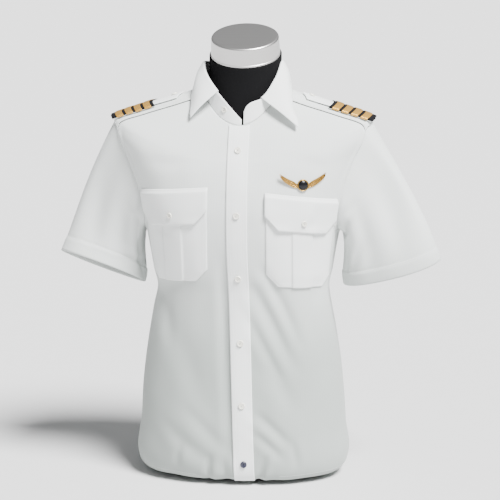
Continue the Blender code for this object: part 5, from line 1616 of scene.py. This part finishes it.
def make_badge():
    """Wings badge: feathered wings beside a gold rim with a plain dark centre."""
    point, normal = front_cloth(BADGE_ACROSS, BADGE_HEIGHT, SEAT_GAP)
    axes, seat = facing_frame(point, normal)
    down, out = np.meshgrid(np.linspace(0.0, 1.0, 61), np.linspace(0.0, 1.0, 64))
    feather = np.abs(np.sin(np.pi * down * FEATHERS))
    reach = out * (1.0 - FEATHER_NOTCH * (1.0 - feather ** 0.6) * smooth_step((out - 0.4) / 0.6))
    upper_x, upper_y, lower_x, lower_y = np.moveaxis(Curves(WING_EDGES).read(reach), -1, 0)
    x = upper_x + (lower_x - upper_x) * down
    y = upper_y + (lower_y - upper_y) * down
    quill = 0.35 + 0.65 * np.abs(np.sin(np.pi * (out * 7.0 - down * 1.5)))
    barb = smooth_step((down - 0.35) / 0.3) * BARB_HEIGHT * quill
    rise = WING_THICK + FEATHER_HEIGHT * feather ** 0.7 * (0.6 + 0.4 * (1.0 - out)) + barb
    for name, side in (("left", -1.0), ("right", 1.0)):
        top, low = (np.stack([side * x, y, height], axis=-1) @ axes.T + seat
                    for height in (rise, np.zeros_like(x)))
        shell("badge_wing_" + name, top, low, GOLD)
    turns = np.linspace(0.0, 2.0 * np.pi, 96, endpoint=False)

    def circle(radius, height):
        ring = [radius * np.cos(turns), radius * np.sin(turns), np.full(len(turns), height)]
        return np.stack(ring, axis=-1) @ axes.T + seat

    inside = BADGE_CENTRE_RADIUS + ENAMEL_GAP
    middle, half = (inside + BADGE_RIM_RADIUS) / 2.0, (BADGE_RIM_RADIUS - inside) / 2.0
    bend = np.radians(np.linspace(180.0, 0.0, 13))
    rim = [circle(middle + half * math.cos(a), RIM_SHOULDER + half * 0.9 * math.sin(a)) for a in bend]
    rim = np.array(rim + [circle(BADGE_RIM_RADIUS, 0.0)])
    base = np.array([circle(inside, RIM_FLOOR - RIM_FLOOR * k / 13) for k in range(14)])
    shell("badge_rim", rim, base, GOLD, closed=True)
    reach = BADGE_CENTRE_RADIUS - ENAMEL_GAP
    dome = [circle(reach, DOME_FOOT)]
    for angle in np.radians(np.linspace(0.0, 84.0, 15)):
        dome.append(circle(reach * math.cos(angle), DOME_EDGE + DOME_RISE * math.sin(angle)))
    lofted("badge_centre", np.array(dome), ENAMEL)


def make_form():
    """Smooth limbless form inside the shirt, in black jersey."""
    turns = np.linspace(0.0, 360.0, 120, endpoint=False)
    across, ahead = np.sin(np.radians(turns)), np.cos(np.radians(turns))
    rings = []
    for inset, height in ((PLINTH_EDGE, 0.0), (0.0, PLINTH_EDGE), (0.0, PLINTH_HEIGHT)):
        ring = [(PLINTH_SIDE - inset) * across, -(PLINTH_FRONT - inset) * ahead, np.full(len(turns), height)]
        rings.append(np.stack(ring, axis=-1))
    for level in np.linspace(0.01, 0.965, 110):
        row = SECTION_CURVES.read(level)
        ease_end = np.where(ahead >= 0.0, row[7], row[9])
        ease = ease_end * ahead ** 2 + row[8] * (1.0 - ahead ** 2)
        rings.append(ring_point(turns, level) - ring_normal(turns, level) * (FORM_GAP + ease)[:, None])
    root = ring_point(turns, 1.0)
    level_out = unit(root * np.array([1.0, 1.0, 0.0]))
    root = root - level_out * NECK_ROOT_INSET - UP * NECK_ROOT_DROP
    tilt_back = np.array([0.0, math.cos(CAP_TILT), math.sin(CAP_TILT)])
    seat = CAP_CENTRE - np.array([0.0, -math.sin(CAP_TILT), math.cos(CAP_TILT)]) * SEAT_GAP
    top = (seat + np.array([1.0, 0.0, 0.0]) * NECK_RADIUS * across[:, None]
           - tilt_back * NECK_RADIUS * ahead[:, None])
    for share in np.linspace(0.0, 1.0, 26):
        ring = root + (top - root) * (1.0 - (1.0 - share) ** 2)
        ring[:, 2] = root[:, 2] + (top[:, 2] - root[:, 2]) * share
        rings.append(ring)
    lofted("form", np.array(rings), JERSEY)


def make_cap():
    """Turned steel cap on the form's neck: a low foot, a side that narrows upwards and a rounded top edge."""
    side, edge = CAP_LOW_RADIUS - 0.0006, CAP_TOP_RADIUS + 0.0010
    profile = [(CAP_LOW_RADIUS - 0.0004, 0.0), (CAP_LOW_RADIUS, 0.0005), (CAP_LOW_RADIUS, 0.0032),
               (CAP_LOW_RADIUS - 0.0005, 0.0036), (side, CAP_FOOT)]
    for share in np.linspace(0.0, 1.0, 8)[1:]:
        profile.append((side + (edge - side) * share, CAP_FOOT + (CAP_HEIGHT - 2.0 * CAP_FOOT) * share))
    for angle in np.radians(np.linspace(0.0, 90.0, 9)):
        profile.append((edge - CAP_ROUND + CAP_ROUND * math.cos(angle),
                        CAP_HEIGHT - CAP_ROUND + CAP_ROUND * math.sin(angle)))
    profile += [(CAP_TOP_RADIUS * share, CAP_HEIGHT + rise)
                for share, rise in ((0.75, 0.0003), (0.4, 0.0006), (0.05, 0.0007))]
    around = np.linspace(0.0, 2.0 * np.pi, 160, endpoint=False)
    rings = np.array([[radius * np.cos(around), radius * np.sin(around), np.full(len(around), height)]
                      for radius, height in profile]).swapaxes(1, 2)
    tilt = np.array(Matrix.Rotation(CAP_TILT, 3, "X"))
    lofted("neck_cap", rings @ tilt.T + CAP_CENTRE, STEEL)


# Flat cuts: the width and length of the cloth each piece is cut from, and its area where it isn't a rectangle
Cut = namedtuple("Cut", "width length area held rests_on")


# Camera at the photograph's angle, a soft lamp and a pale floor
CAMERA_TURN = math.radians(5.5)
CAMERA_RISE = math.radians(10.0)
CAMERA_DISTANCE = 3.2
CAMERA_LENS = 134.0
CAMERA_TARGET = Vector((0.0115, 0.0, 0.388))
KEY_WAY = (0.42, -0.40, 0.80)
KEY_STRENGTH = 13.5
KEY_SOFTNESS = math.radians(22.0)
WORLD_STRENGTH = 0.36
WORLD_COLOUR = (0.97, 0.985, 1.0, 1.0)
FLOOR_REACH = 60.0


def look_at(thing, place, target):
    """Put a camera or lamp at a place, facing a target."""
    thing.location = place
    thing.rotation_euler = (Vector(target) - Vector(place)).to_track_quat("-Z", "Y").to_euler()


def make_studio():
    """Camera, lamps, world and floor."""
    scene = bpy.context.scene
    lens = bpy.data.cameras.new("camera")
    lens.lens = CAMERA_LENS
    lens.sensor_width = 36.0
    camera = bpy.data.objects.new("camera", lens)
    scene.collection.objects.link(camera)
    level_reach = math.cos(CAMERA_RISE)
    way = Vector((math.sin(CAMERA_TURN) * level_reach, -math.cos(CAMERA_TURN) * level_reach,
                  math.sin(CAMERA_RISE)))
    look_at(camera, CAMERA_TARGET + way * CAMERA_DISTANCE, CAMERA_TARGET)
    scene.camera = camera
    data = bpy.data.lights.new("key", "SUN")
    data.energy = KEY_STRENGTH
    data.angle = KEY_SOFTNESS
    key = bpy.data.objects.new("key", data)
    scene.collection.objects.link(key)
    look_at(key, KEY_WAY, (0.0, 0.0, 0.0))
    world = bpy.data.worlds.new("world")
    world.use_nodes = True
    set_inputs(world.node_tree.nodes["Background"], {"Color": WORLD_COLOUR, "Strength": WORLD_STRENGTH})
    scene.world = world
    mesh = bpy.data.meshes.new("floor")
    corners = [(-FLOOR_REACH, -FLOOR_REACH), (FLOOR_REACH, -FLOOR_REACH), (FLOOR_REACH, FLOOR_REACH),
               (-FLOOR_REACH, FLOOR_REACH)]
    mesh.from_pydata([(x, y, -0.0005) for x, y in corners], [], [(0, 1, 2, 3)])
    mesh.materials.append(plain_material("pale_floor", (0.64, 0.64, 0.64), (0.66, 0.66, 0.66), 0.95,
                                         scale=20.0, bump=0.0, specular=0.1))
    floor = bpy.data.objects.new("floor", mesh)
    scene.collection.objects.link(floor)


def make_shirt():
    """Every piece of the shirt and its form."""
    made = make_panels()
    made.update(make_sleeves())
    sew_body()
    made.update(make_collar())
    made.update(make_placket())
    for row in POCKETS:
        made["pocket_" + row.name] = make_pocket(row)
        made["flap_" + row.name] = make_flap(row)
    for name, side in (("left", -1), ("right", 1)):
        made["strap_" + name] = make_strap(name, side)
        make_board(name, side)
        for index in range(BAR_COUNT):
            make_bar("bar_%s_%d" % (name, index + 1), side, index)
    make_buttons()
    make_badge()
    make_form()
    make_cap()


make_shirt()
make_studio()
